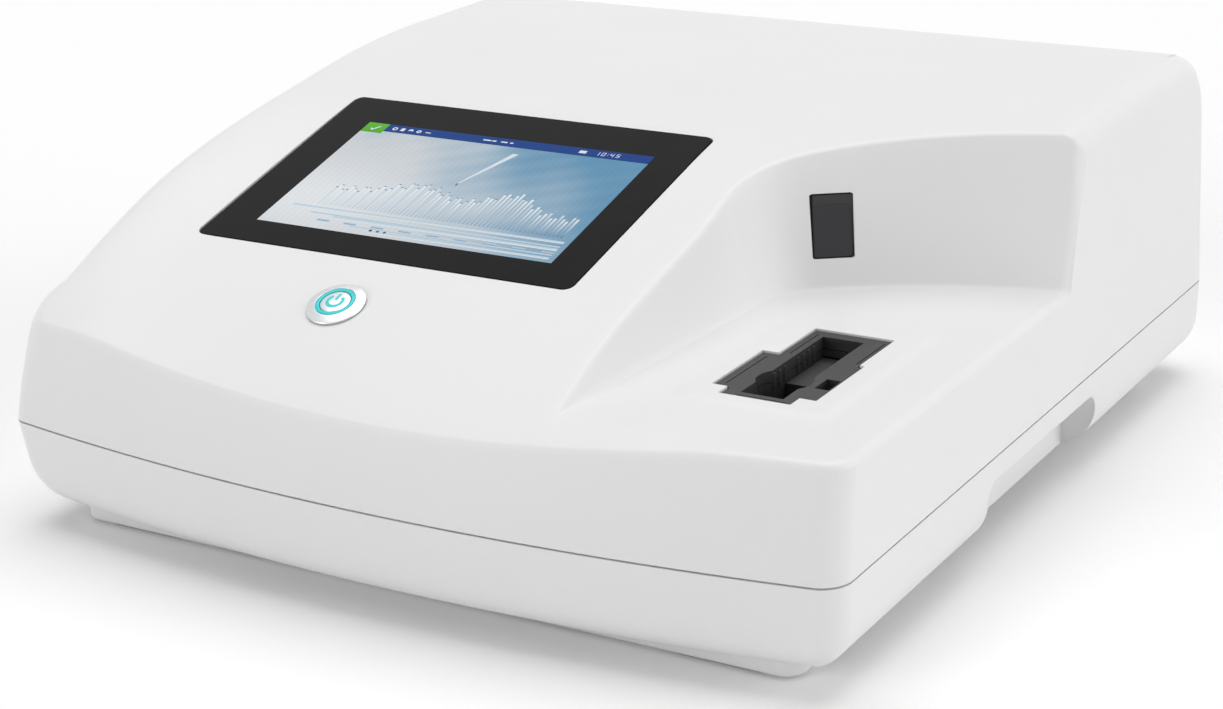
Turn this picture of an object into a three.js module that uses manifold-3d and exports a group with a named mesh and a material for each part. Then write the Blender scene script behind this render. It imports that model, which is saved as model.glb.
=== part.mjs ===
// Portable spectrophotometer with an open sample bay, in millimetres, +Z up.
// The origin lies on the table under the middle of the case, X runs to the right and Y to the back.

import * as THREE from 'three';
import { mergeVertices } from 'three/addons/utils/BufferGeometryUtils.js';
import Module from 'manifold-3d';

const wasm = await Module();
wasm.setup();

const degrees = Math.PI / 180;
const quarter = Math.PI / 2;

// Clearances and facet counts that all pieces share
const gap = 0.3;
const seam = 0.5;
const overrun = 12;
const roundSides = 20;
const screwSides = 12;
const cornerSteps = 4;

// Case: plan, heights and walls
const caseWidth = 282;
const caseDepth = 312;
const caseHeight = 116.7;
const partingHeight = 34.2;
const undersideHeight = 7.2;
const shellWall = 3.2;
const baseWall = 3;
const frontRadius = 800;
const frontCorner = 9;
const rearCorner = 12;
const baseRound = 14;
const baseFrontShare = 0.8;
const frontRound = 8;
const rearRound = 25;
const sideRound = 8;
const edgeRound = 2;
const draft = { front: 5 * degrees, side: 1 * degrees, rear: 3.3 * degrees };

// The case's edges, which the places below keep their distance from
const leftEdge = -caseWidth / 2;
const rightEdge = caseWidth / 2;
const frontEdge = -caseDepth / 2;
const rearEdge = caseDepth / 2;

// Deck: a steep brow, a flat slope for the display and a long crest that ends level
const displaySlope = 15.04 * degrees;
const crestRadius = 379;
const flatTopSet = 135.65;
const flatRun = 71.7;
const browRadius = 200;

// The deck swells a little towards its left edge
const swellHeight = 4.4;
const swellSet = 98;
const swellReach = 75;
const swellWidth = 36;
const swellInset = 7;
const swellY = frontEdge + swellSet;
const swellEnd = rightEdge - swellInset;
const swellStart = swellEnd - swellWidth;

// Sample bay at the right: a level floor and a wall that sweeps round behind it
const bayFloor = 67;
const bayWidth = 86.4;
const bayStartSet = 22;
const bayFrontX = rightEdge - bayWidth;
const bayStartY = frontEdge + bayStartSet;
const bayWallRun = 100;
const bayWallHeading = 87.4 * degrees;
const bayTurnRadius = 30;
const bayTurnHeading = 37 * degrees;
const baySweepRadius = 155;
const bayEndHeading = 10 * degrees;
const bayWallLean = 10.5 * degrees;
const bayFootRound = 3;
const shelfWidth = 112;
const shelfOverlap = 58;
const shelfEnd = bayFrontX + shelfOverlap;
const shelfStart = shelfEnd - shelfWidth;

// Display under its glass
const glassLeftSet = 35.5;
const glassBaySet = 23.9;
const glassLength = 92.5;
const glassThickness = 1.6;
const glassCorner = 3;
const glassWidth = caseWidth - glassLeftSet - glassBaySet - bayWidth;
const glassX = leftEdge + glassLeftSet + glassWidth / 2;
const glassInset = 0.5;
const glassLedge = 8;
const panelSideInset = 6.1;
const panelEndInset = 7.25;
const panelWidth = glassWidth - panelSideInset * 2;
const panelLength = glassLength - panelEndInset * 2;
const panelThickness = 5;
const bracketMargin = 3;
const bracketThickness = 1.5;

// Power button on the brow
const buttonX = -35.5;
const buttonSet = 42;
const buttonY = frontEdge + buttonSet;
const buttonFlangeRadius = 9.2;
const buttonFlangeHeight = 1.5;
const buttonShoulderShare = 0.8;
const buttonBarrelRadius = 7.8;
const buttonBarrelLength = 14;
const buttonWall = 1.55;
const buttonRingWidth = 1;
const buttonStemRadius = 2;
const buttonBaseThickness = 3;
const buttonTravel = 1.2;
const nutAcross = 21;
const nutThickness = 2.5;

// Cell holder in the bay floor
const holderSideSet = 58.7;
const holderFrontSet = 49.2;
const holderX = rightEdge - holderSideSet;
const holderY = frontEdge + holderFrontSet;
const holderWidth = 31.2;
const holderLength = 59.5;
const pocketSideSet = 15.9;
const pocketX = holderX + pocketSideSet;
const pocketWidth = 13.2;
const pocketFrontSet = 3.7;
const pocketFrontY = holderY + pocketFrontSet;
const pocketLength = 51.6;
const pocketDepth = 45.8;
const wellRadius = 8.35;
const wellSet = 17.8;
const wellY = holderY + wellSet;
const wellDepth = 48.8;
const sidePocketSideSet = 28.3;
const sidePocketSet = 19.3;
const sidePocketX = holderX + sidePocketSideSet;
const sidePocketY = holderY + sidePocketSet;
const sidePocketWidth = 4.6;
const sidePocketLength = 8.4;
const sidePocketDepth = 14;
const slideLength = 24;
const slideDrop = 6;
const slideTravel = 20;
const slideFloorSpare = 4.2;
const blockWall = 3.4;

// Code reader behind a dark window in the bay wall
const windowHeading = 35 * degrees;
const windowHeightShare = 0.483;
const windowTallShare = 0.486;
const windowWidth = 13.3;
const windowThickness = 1.5;
const windowSink = 0.4;
const readerWidth = 24;
const readerTallShare = 0.654;
const readerDepth = 16;

// Fasteners of the case
const bossRadius = 5;
const bossSideSet = 17;
const bossEndSet = 44;
const bossX = rightEdge - bossSideSet;
const bossY = rearEdge - bossEndSet;
const screwRadius = 1.6;
const screwHeadRadius = 3.6;
const screwHeadHeight = 3;
const screwHeadSink = 5.5;
const screwReach = 18;

// Underside: foot bars, pads, finger grips and battery bay
const barSideSet = 16.5;
const barHalfLength = rightEdge - barSideSet;
const barDepth = 14;
const barHeight = 6.2;
const barCorner = 6.5;
const frontBarSet = 28.4;
const rearBarSet = 30;
const frontBarY = frontEdge + frontBarSet;
const rearBarY = rearEdge - rearBarSet;
const padLength = 30;
const padDepth = 9;
const padSink = 1.6;
const padCornerShare = 0.3;
const padShare = 0.8;
const gripDepth = 11.2;
const gripHalfLength = 44;
const gripHeight = 19.4;
const gripCorner = 6;
const gripWall = 3;
const batterySideSet = 75;
const batteryFrontSet = 72;
const batteryX = leftEdge + batterySideSet;
const batteryY = frontEdge + batteryFrontSet;
const batteryWidth = 74;
const batteryLength = 50;
const batteryHeight = 19;
const batteryMargin = 2;
const coverLedge = 3;
const coverThickness = 1.6;
const coverScrewRadius = 2.2;
const coverScrewLength = 4;
const coverTab = 7;

// Optics bench
const plateThickness = 3;
const plateSideSet = 37;
const plateFrontSet = 132;
const plateRearSet = 17.5;
const plateHalfWidth = rightEdge - plateSideSet;
const plateFrontY = frontEdge + plateFrontSet;
const plateRearY = rearEdge - plateRearSet;
const branchLeftSet = 2.3;
const branchRightSet = 3.5;
const branchFrontSet = 3.2;
const branchLeft = holderX - branchLeftSet;
const branchRight = holderX + holderWidth + branchRightSet;
const branchY = holderY - branchFrontSet;
const beamHeight = 36;
const beamRadius = 3;
const lampX = -74;
const exitX = pocketX;
const lampSet = 144;
const lampY = frontEdge + lampSet;
const lampBoxWidth = 34;
const lampBoxDepth = 36;
const lampBoxHeight = 44;
const lampBoxWall = 2;
const bulbRadius = 5.5;
const bulbLength = 26;
const bulbShares = [[0, 0], [1, 0], [1, 0.25], [0.8, 0.33], [0.9, 0.75], [0.5, 0.92], [0, 1]];
const lensX = -44;
const lensRadius = 10;
const lensThickness = 6;
const lensEdge = 2;
const mountWidth = 26;
const mountDepth = 5;
const mountHeight = 35;
const wheelX = -24;
const wheelRadius = 17;
const wheelThickness = 3;
const wheelHoleRadius = 3.6;
const wheelOffset = 11.5;
const wheelHoles = 6;
const wheelShaftRadius = 1.6;
const wheelMotorRadius = 7.6;
const wheelMotorLength = 16;
const wheelMotorFoot = 9;
const slitShare = 0.546;
const slitX = lampX + slitShare * (exitX - lampX);
const slitSet = 160;
const slitY = frontEdge + slitSet;
const slitWidth = 18;
const slitThickness = 3;
const slitHeight = 34;
const slitGap = 1.2;
const slitTall = 8;
const foldWidth = 18;
const foldThickness = 3;
const mirrorRearSet = 34;
const mirrorY = rearEdge - mirrorRearSet;
const mirrorRadius = 12;
const mirrorThickness = 5;
const mirrorDish = 1;
const mirrorDishShare = 0.75;
const mirrorTurn = 11.5 * degrees;
const mirrorMountDepth = 3;
const mirrorFootDepth = 9;
const splitterSet = 143;
const splitterY = frontEdge + splitterSet;
const splitterWidth = 13;
const splitterThickness = 1.5;
const detectorWidth = 16;
const detectorDepth = 12;
const detectorHeight = 26;
const referenceSideSet = 12.5;
const referenceX = exitX - referenceSideSet;
const referenceSize = 9;

// Grating drive
const gratingSet = 186;
const gratingY = frontEdge + gratingSet;
const gratingWidth = 20;
const gratingThickness = 6;
const gratingHeight = 22;
const toothModule = 0.8;
const gearTeeth = 64;
const pinionTeeth = 16;
const gearThickness = 3;
const gearLift = 1.6;
const gearSpread = 34 * degrees;
const pressureAngle = 20 * degrees;
const toothShare = 0.84;
const addendumShare = 0.9;
const dedendumShare = 1.25;
const tableRadius = 14;
const tableThickness = 2;
const tableShaftRadius = 3;
const motorSize = 28;
const motorHeight = 28;
const motorShaftRadius = 1.5;
const motorShaftReach = 8;
const motorPlateThickness = 2;
const motorLegThickness = 2;

// Electronics and the rear panel
const boardX = 18;
const boardWidth = 124;
const boardFrontSet = 200;
const boardRearSet = 14;
const boardFront = frontEdge + boardFrontSet;
const boardRear = rearEdge - boardRearSet;
const boardHeight = 65;
const boardThickness = 1.6;
const carrierThickness = 1.5;
const carrierLegRadius = 3;
const carrierLegInset = 5;
const carrierLegShares = [[0, 0], [0, 1], [0.96, 0], [0.81, 1]];
const panelX = -10;
const rearPanelWidth = 182;
const rearPanelLow = 42.2;
const rearPanelTopSet = 20.5;
const rearPanelTall = caseHeight - rearPanelTopSet - rearPanelLow;
const rearPanelThickness = 2;
const rearPanelMargin = 4;
const rearPanelSink = 5.2;
const fanX = -72;
const fanSize = 40;
const fanDepth = 10;
const fanBore = 18;
const fanHub = 9;
const fanBlades = 7;
const fanBladeThickness = 1.4;
const fanShaftRadius = 1.6;
const fanSpokeWidth = 3;
const slotWidth = 3;
const slotTallShare = 1.2;
const slotSteps = [-2, -1, 0, 1, 2];
const socketDepth = 16;
const socketMouthShare = 0.8;
const dcX = -34;
const dcSize = 11;
const dcBore = 3.1;
const dcPin = 1;
const lanX = -8;
const lanWidth = 16;
const lanTall = 13.5;
const lanOpeningWidth = 11.7;
const lanOpeningTall = 8.4;
const usbWidth = 14;
const usbTall = 7;
const usbWall = 0.7;
const usbTongueShare = 0.7;
const usbXs = [20, 44];

// Solids: three.js shapes in, closed bodies out
const solidOf = (geometry) => {
  const plain = geometry.clone();
  plain.deleteAttribute('normal');
  plain.deleteAttribute('uv');
  const merged = mergeVertices(plain);
  const vertProperties = Float32Array.from(merged.attributes.position.array);
  const triVerts = Uint32Array.from(merged.index.array);
  return new wasm.Manifold(new wasm.Mesh({ numProp: 3, vertProperties, triVerts }));
};

const geometryOf = (solid) => {
  const mesh = solid.getMesh();
  const geometry = new THREE.BufferGeometry();
  geometry.setAttribute('position', new THREE.BufferAttribute(mesh.vertProperties, 3));
  geometry.setIndex(new THREE.BufferAttribute(mesh.triVerts, 1));
  return geometry;
};

const joined = (...geometries) => geometryOf(
  geometries.map(solidOf).reduce((whole, solid) => whole.add(solid)));

const cut = (geometry, ...cutters) => geometryOf(
  cutters.map(solidOf).reduce((whole, solid) => whole.subtract(solid), solidOf(geometry)));

const shared = (geometry, ...others) => geometryOf(
  others.map(solidOf).reduce((whole, solid) => whole.intersect(solid), solidOf(geometry)));

// A box between two corners
const block = (x0, x1, y0, y1, z0, z1) => new THREE.BoxGeometry(x1 - x0, y1 - y0, z1 - z0)
  .translate((x0 + x1) / 2, (y0 + y1) / 2, (z0 + z1) / 2);

// A box with its base centre at a point
const boxOn = (x, y, z, width, depth, height) => block(
  x - width / 2, x + width / 2, y - depth / 2, y + depth / 2, z, z + height);

// A round bar along Z, X or Y
const barZ = (x, y, z0, z1, radius, sides = roundSides) => new THREE.CylinderGeometry(
  radius, radius, z1 - z0, sides).rotateX(quarter).translate(x, y, (z0 + z1) / 2);
const barX = (x0, x1, y, z, radius, sides = roundSides) => new THREE.CylinderGeometry(
  radius, radius, x1 - x0, sides).rotateZ(quarter).translate((x0 + x1) / 2, y, z);
const barY = (x, y0, y1, z, radius, sides = roundSides) => new THREE.CylinderGeometry(
  radius, radius, y1 - y0, sides).translate(x, (y0 + y1) / 2, z);

// A closed profile of [radius, height] pairs turned about Z
const turned = (profile, sides = roundSides) => new THREE.LatheGeometry(
  profile.map(([radius, height]) => new THREE.Vector2(radius, height)), sides).rotateX(quarter);

// Points of a rounded corner between two straight sides
const corner = (before, at, after, radius, steps = cornerSteps) => {
  const back = before.clone().sub(at).normalize();
  const on = after.clone().sub(at).normalize();
  const half = Math.acos(THREE.MathUtils.clamp(back.dot(on), -1, 1)) / 2;
  const centre = back.clone().add(on).normalize().multiplyScalar(radius / Math.sin(half)).add(at);
  const start = back.multiplyScalar(radius / Math.tan(half)).add(at).sub(centre);
  const end = on.multiplyScalar(radius / Math.tan(half)).add(at).sub(centre);
  const turn = Math.atan2(start.cross(end), start.dot(end));
  return Array.from({ length: steps + 1 }, (_, i) => start.clone()
    .rotateAround(new THREE.Vector2(), turn * i / steps).add(centre));
};

// A polygon with every corner rounded alike, from [x, y] pairs
const roundedPolygon = (pairs, radius) => {
  const points = pairs.map(([x, y]) => new THREE.Vector2(x, y));
  const count = points.length;
  return points.flatMap((point, i) => corner(
    points[(i + count - 1) % count], point, points[(i + 1) % count], radius));
};

const rectangle = (width, length, radius) => roundedPolygon([
  [-width / 2, -length / 2], [width / 2, -length / 2],
  [width / 2, length / 2], [-width / 2, length / 2]], radius);

// A flat outline raised along Z from one height to another
const raised = (points, z0, z1) => new THREE.ExtrudeGeometry(
  new THREE.Shape(points), { depth: z1 - z0, bevelEnabled: false }).translate(0, 0, z0);

// An outline in the YZ plane carried along X
const carriedX = (pairs, x0, x1) => raised(pairs.map(([y, z]) => new THREE.Vector2(y, z)), x0, x1)
  .applyMatrix4(new THREE.Matrix4().set(0, 0, 1, 0, 1, 0, 0, 0, 0, 1, 0, 0, 0, 0, 0, 1));

// Rings of equal count skinned into one closed body; flat gives each ring's 2D place for its caps
const skinned = (rings, flat) => {
  const count = rings[0].length;
  const positions = rings.flat().flatMap((point) => point.toArray());
  const faces = [];
  for (let ring = 0; ring + 1 < rings.length; ring += 1) {
    for (let i = 0; i < count; i += 1) {
      const next = (i + 1) % count;
      const low = ring * count;
      const high = low + count;
      faces.push([low + i, low + next, high + next], [low + i, high + next, high + i]);
    }
  }
  const cap = (ring, from) => {
    const contour = ring.map(flat);
    const way = Math.sign(THREE.ShapeUtils.area(contour));
    return THREE.ShapeUtils.triangulateShape(contour, []).map(([a, b, c]) => (
      way * THREE.ShapeUtils.area([contour[a], contour[b], contour[c]]) > 0
        ? [from + a, from + b, from + c] : [from + c, from + b, from + a]));
  };
  faces.push(...cap(rings[0], 0).map(([a, b, c]) => [c, b, a]));
  faces.push(...cap(rings.at(-1), (rings.length - 1) * count));
  const at = (index) => new THREE.Vector3().fromArray(positions, index * 3);
  const volume = faces.reduce((sum, [a, b, c]) => sum + at(a).dot(at(b).cross(at(c))), 0);
  const ordered = volume < 0 ? faces.map(([a, b, c]) => [a, c, b]) : faces;
  const geometry = new THREE.BufferGeometry();
  geometry.setAttribute('position', new THREE.Float32BufferAttribute(positions, 3));
  geometry.setIndex(ordered.flat());
  return geometry;
};
const fromAbove = (point) => new THREE.Vector2(point.x, point.y);
const fromFront = (point) => new THREE.Vector2(point.x, point.z);

// Case plan at one level: a bowed front, straight sides and rear, drafted away from the parting line
const frontArcShares = [-0.92, -0.75, -0.56, -0.38, -0.19, 0, 0.19, 0.38, 0.56, 0.75, 0.92];
const planRing = (level, inset, frontInset = inset) => {
  const rise = Math.abs(level - partingHeight);
  const side = caseWidth / 2 - inset - rise * Math.tan(draft.side);
  const rear = caseDepth / 2 - inset - rise * Math.tan(draft.rear);
  const radius = frontRadius - frontInset - rise * Math.tan(draft.front);
  const centreY = frontRadius - caseDepth / 2;
  const frontAt = (x) => new THREE.Vector2(x, centreY - Math.sqrt(radius ** 2 - x ** 2));
  const arc = frontArcShares.map((share) => frontAt(share * side));
  const [left, right] = [frontAt(-side), frontAt(side)];
  const [rearLeft, rearRight] = [new THREE.Vector2(-side, rear), new THREE.Vector2(side, rear)];
  const frontR = Math.max(frontCorner - inset, edgeRound);
  const rearR = Math.max(rearCorner - inset, edgeRound);
  return [...arc,
    ...corner(arc.at(-1), right, rearRight, frontR), ...corner(right, rearRight, rearLeft, rearR),
    ...corner(rearRight, rearLeft, left, rearR), ...corner(rearLeft, left, arc[0], frontR),
  ].map((point) => new THREE.Vector3(point.x, point.y, level));
};

// Deck height along Y
const crestCentre = caseHeight - crestRadius;
const flatTopY = frontEdge + flatTopSet;
const crestBack = flatTopY + crestRadius * Math.sin(displaySlope);
const flatTopZ = crestCentre + crestRadius * Math.cos(displaySlope);
const flatLowY = flatTopY - flatRun;
const flatLowZ = flatTopZ - flatRun * Math.tan(displaySlope);
const browCentreY = flatLowY + browRadius * Math.sin(displaySlope);
const browCentreZ = flatLowZ - browRadius * Math.cos(displaySlope);
const deckHeight = (y) => {
  if (y > crestBack) return caseHeight;
  if (y > flatTopY) return crestCentre + Math.sqrt(crestRadius ** 2 - (y - crestBack) ** 2);
  if (y > flatLowY) return flatTopZ + (y - flatTopY) * Math.tan(displaySlope);
  return browCentreZ + Math.sqrt(browRadius ** 2 - (y - browCentreY) ** 2);
};
const browSlopeAt = (y) => Math.asin((browCentreY - y) / browRadius);

// In front of the bay the brow is lifted to the bay floor, with a soft ramp at its left
const topAt = (x, y) => {
  const share = THREE.MathUtils.smoothstep(x, shelfStart, shelfEnd);
  const along = Math.min(Math.abs(y - swellY) / swellReach, 1);
  const swell = swellHeight * Math.cos(quarter * along) ** 2;
  return deckHeight(y) + share * Math.max(0, bayFloor - deckHeight(y))
    + swell * THREE.MathUtils.smoothstep(-x, swellStart, swellEnd);
};
const spread = (from, to, steps) => Array.from(
  { length: steps }, (_, i) => from + (to - from) * i / steps);

// The body under the deck, in sections across the case with rounded shoulders
const deckBody = (drop) => {
  const frontY = -caseDepth / 2 - overrun;
  const rearY = caseDepth / 2 + overrun;
  const stations = [...spread(frontY, flatLowY, 11), flatLowY, ...spread(flatTopY, crestBack, 8),
    crestBack, rearY];
  const rings = stations.map((y) => {
    const sideX = (height) => caseWidth / 2 - drop
      - (height - partingHeight - sideRound) * Math.tan(draft.side);
    const lift = drop / Math.cos(y < flatLowY ? browSlopeAt(y) : displaySlope);
    const leftTop = topAt(-swellEnd, y) - lift;
    const rightTop = topAt(shelfEnd, y) - lift;
    const leftR = Math.max(sideRound - drop, edgeRound);
    const rightR = Math.max(Math.min(leftR, deckHeight(y) - bayFloor), edgeRound);
    const bow = (x, z, radius, way) => Array.from({ length: cornerSteps + 1 }, (_, i) => {
      const angle = quarter * i / cornerSteps;
      return [x - way * radius * (1 - Math.sin(angle)), z - radius * (1 - Math.cos(angle))];
    });
    const ramp = [...spread(-swellEnd, -swellStart, 3).slice(1), -swellStart,
      ...spread(shelfStart, shelfEnd, 7), shelfEnd].map((x) => [x, topAt(x, y) - lift]);
    const outline = [
      [-sideX(leftTop), undersideHeight],
      ...bow(-sideX(leftTop), leftTop, leftR, -1).reverse(), ...ramp,
      ...bow(sideX(rightTop), rightTop, rightR, 1), [sideX(rightTop), undersideHeight]];
    return outline.map(([x, z]) => new THREE.Vector3(x, y, z));
  });
  return skinned(rings, fromFront);
};

// The rounded upper rear edge, as a body that the case is trimmed to
const rearBody = (drop) => {
  const topZ = caseHeight - drop;
  const wallY = (z) => caseDepth / 2 - drop - (z - partingHeight) * Math.tan(draft.rear);
  const foot = new THREE.Vector2(wallY(undersideHeight), undersideHeight);
  const top = new THREE.Vector2(wallY(topZ), topZ);
  const front = new THREE.Vector2(-caseDepth / 2 - overrun, topZ);
  const bow = corner(foot, top, front, rearRound - drop, 6).map((point) => point.toArray());
  return carriedX([foot.toArray(), ...bow, front.toArray(), [front.x, undersideHeight]],
    -caseWidth / 2 - overrun, caseWidth / 2 + overrun);
};

// The walls up to the deck, with the front rounded back under the bay floor's level
const caseBody = (drop, low) => {
  const radius = Math.max(frontRound - drop, edgeRound);
  const eased = [0, 1, 2, 3].map((step) => {
    const angle = quarter * step / 3;
    return planRing(bayFloor - drop - radius * (1 - Math.sin(angle)), drop,
      drop + radius * (1 - Math.cos(angle)));
  });
  const top = planRing(caseHeight + overrun, drop, drop + radius);
  return shared(skinned([planRing(low, drop), ...eased, top], fromAbove),
    deckBody(drop), rearBody(drop));
};

// The bay wall's line at the floor: straight, a tight turn, a long sweep and a straight end
const bayCourse = () => {
  const at = new THREE.Vector2(bayFrontX, bayStartY);
  const leftOf = (heading) => new THREE.Vector2(-Math.sin(heading), Math.cos(heading));
  const course = [{ at: at.clone(), left: leftOf(bayWallHeading) }];
  at.add(leftOf(bayWallHeading - quarter).multiplyScalar(bayWallRun));
  const arc = (radius, from, to, steps) => {
    const centre = at.clone().sub(leftOf(from).multiplyScalar(radius));
    for (let i = 0; i <= steps; i += 1) {
      const left = leftOf(from + (to - from) * i / steps);
      course.push({ at: centre.clone().add(left.clone().multiplyScalar(radius)), left });
    }
    at.copy(course.at(-1).at);
    course.pop();
  };
  arc(bayTurnRadius, bayWallHeading, bayTurnHeading, 6);
  const sweepCentre = at.clone().sub(leftOf(bayTurnHeading).multiplyScalar(baySweepRadius));
  arc(baySweepRadius, bayTurnHeading, bayEndHeading, 5);
  const last = leftOf(bayEndHeading);
  course.push({ at: at.clone(), left: last });
  at.add(leftOf(bayEndHeading - quarter).multiplyScalar(overrun * 2));
  course.push({ at: at.clone(), left: last });
  return { course, sweepCentre };
};
const { course: bayLine, sweepCentre } = bayCourse();

// The room above the bay floor; grow makes it larger by a wall
const bayRoom = (grow) => {
  const ring = (offset, level) => {
    const points = bayLine.map(({ at, left }) => at.clone().add(left.clone().multiplyScalar(offset)));
    const rightX = caseWidth / 2 + overrun * 3;
    const frontY = -caseDepth / 2 - overrun;
    return [new THREE.Vector2(points[0].x, frontY), ...points,
      new THREE.Vector2(rightX, points.at(-1).y), new THREE.Vector2(rightX, frontY),
    ].map((point) => new THREE.Vector3(point.x, point.y, level));
  };
  const rounds = [0, 1, 2, 3].map((step) => {
    const angle = quarter * step / 3;
    return ring(grow - bayFootRound * (1 - Math.sin(angle)),
      bayFloor - grow + bayFootRound * (1 - Math.cos(angle)));
  });
  const topLevel = caseHeight + overrun;
  const topOffset = grow + (topLevel - bayFloor - bayFootRound) * Math.tan(bayWallLean);
  return skinned([...rounds, ring(topOffset, topLevel)], fromAbove);
};

// Frames that carry pieces: the display's plane, the button's seat and the reader's window
const frameAt = (x, y, z) => {
  const frame = new THREE.Group();
  frame.position.set(x, y, z);
  return frame;
};
const displayFrame = frameAt(glassX,
  flatLowY + (glassInset + glassLength / 2) * Math.cos(displaySlope),
  flatLowZ + (glassInset + glassLength / 2) * Math.sin(displaySlope));
displayFrame.rotation.x = displaySlope;
const buttonFrame = frameAt(buttonX, buttonY, deckHeight(buttonY));
buttonFrame.rotation.x = browSlopeAt(buttonY);

const windowFootY = sweepCentre.y + baySweepRadius * Math.cos(windowHeading);
const wallRoom = deckHeight(windowFootY) - bayFloor;
const windowHeight = windowHeightShare * wallRoom;
const windowTall = windowTallShare * wallRoom;
const readerTall = readerTallShare * wallRoom;
const windowOut = baySweepRadius + (windowHeight - bayFootRound) * Math.tan(bayWallLean);
const windowFrame = frameAt(
  sweepCentre.x - windowOut * Math.sin(windowHeading),
  sweepCentre.y + windowOut * Math.cos(windowHeading), bayFloor + windowHeight);
windowFrame.rotation.order = 'ZXY';
windowFrame.rotation.z = windowHeading;
windowFrame.rotation.x = -bayWallLean;

const inFrame = (geometry, frame) => {
  frame.updateMatrixWorld();
  return geometry.clone().applyMatrix4(frame.matrixWorld);
};

// Screw places of the case
const screwPlaces = {
  front_left: [-bossX, -bossY], front_right: [bossX, -bossY],
  rear_left: [-bossX, bossY], rear_right: [bossX, bossY],
};
const screwHeadLevel = undersideHeight + screwHeadSink;

// Upper housing
const rearPanelTop = rearPanelLow + rearPanelTall + rearPanelMargin;
const rearPanelY = rearEdge - (rearPanelTop - partingHeight) * Math.tan(draft.rear) - rearPanelSink;
const panelLeft = panelX - rearPanelWidth / 2;
const panelRight = panelX + rearPanelWidth / 2;
const insertShares = [[0.16, 0], [0.84, 0], [0.84, 0.095], [1, 0.095], [1, 0.6], [0.95, 0.6],
  [0.95, 1], [0.165, 1], [0.165, 0.6], [0, 0.6], [0, 0.095], [0.16, 0.095]];
const insertOutline = (grow) => insertShares.map(([across, along]) => new THREE.Vector2(
  holderX + across * holderWidth + Math.sign(across - 0.5) * grow,
  holderY + along * holderLength + Math.sign(along - 0.3) * grow));

const upperHousing = () => {
  const low = partingHeight + seam / 2;
  const outer = caseBody(0, low);
  const room = cut(caseBody(shellWall, low - overrun), bayRoom(shellWall));
  const bosses = Object.values(screwPlaces).map(([x, y]) => barZ(
    x, y, low, topAt(x, y) - shellWall / 2, bossRadius, screwSides));
  const seat = block(panelLeft - rearPanelMargin * 2, panelRight + rearPanelMargin * 2,
    rearPanelY + gap, caseDepth, rearPanelLow - rearPanelMargin * 2,
    rearPanelLow + rearPanelTall + rearPanelMargin * 2);
  const shell = cut(outer, room);
  const filled = shared(joined(shell, ...bosses, seat), outer);
  const display = inFrame(raised(rectangle(glassWidth + gap * 2, glassLength + gap * 2,
    glassCorner + gap), -glassThickness - gap, overrun), displayFrame);
  const displayOpening = inFrame(boxOn(0, 0, -overrun, glassWidth - glassLedge * 2,
    glassLength - glassLedge * 2, overrun * 2), displayFrame);
  const button = inFrame(barZ(0, 0, -overrun, overrun, buttonBarrelRadius + gap), buttonFrame);
  const holder = raised(insertOutline(gap), bayFloor - overrun, bayFloor + overrun);
  const reader = inFrame(block(-windowWidth / 2 - gap, windowWidth / 2 + gap, -overrun,
    overrun, -windowTall / 2 - gap, windowTall / 2 + gap), windowFrame);
  const rear = block(panelLeft, panelRight, rearPanelY - overrun, caseDepth,
    rearPanelLow, rearPanelLow + rearPanelTall);
  const screws = Object.values(screwPlaces).map(([x, y]) => barZ(
    x, y, low - overrun, partingHeight + screwReach + gap * 2, screwRadius + gap,
    screwSides));
  return cut(filled, bayRoom(0), display, displayOpening, button, holder, reader, rear, ...screws);
};

// Lower housing, with a finger grip under each side
const gripOutline = (grow) => {
  const reach = gripHalfLength + grow;
  const top = undersideHeight + gripHeight + grow;
  const [lowFront, front, rear, lowRear] = [[-reach, -overrun], [-reach, top], [reach, top],
    [reach, -overrun]].map(([y, z]) => new THREE.Vector2(y, z));
  return [lowFront, ...corner(lowFront, front, rear, gripCorner),
    ...corner(front, rear, lowRear, gripCorner), lowRear].map((point) => point.toArray());
};
const grips = (grow) => [-1, 1].map((way) => {
  const inner = caseWidth / 2 - gripDepth - grow;
  const outer = caseWidth / 2 + overrun;
  return carriedX(gripOutline(grow), Math.min(way * inner, way * outer),
    Math.max(way * inner, way * outer));
});
const padPlaces = {
  front_left: [-padShare * barHalfLength, frontBarY], front_right: [padShare * barHalfLength, frontBarY],
  rear_left: [-padShare * barHalfLength, rearBarY], rear_right: [padShare * barHalfLength, rearBarY],
};
const barLow = undersideHeight - barHeight;
const padOutline = (x, y, grow) => rectangle(padLength + grow * 2, padDepth + grow * 2,
  padDepth * padCornerShare).map((point) => point.add(new THREE.Vector2(x, y)));
const baseRings = (inset, low) => {
  const rounded = spread(0, quarter, cornerSteps).concat(quarter).map((angle) => planRing(
    low + baseRound * (1 - Math.sin(angle)), inset + baseRound * (1 - Math.cos(angle)),
    inset + baseFrontShare * baseRound * (1 - Math.cos(angle))));
  return [planRing(inset > 0 ? partingHeight + overrun : partingHeight - seam / 2, inset), ...rounded];
};
const coverWidth = batteryWidth + batteryMargin * 2 + coverLedge * 2;
const coverLength = batteryLength + batteryMargin * 2 + coverLedge * 2;
const coverScrewX = coverWidth / 2 + coverTab / 2;
const baseFloor = undersideHeight + baseWall;

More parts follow.
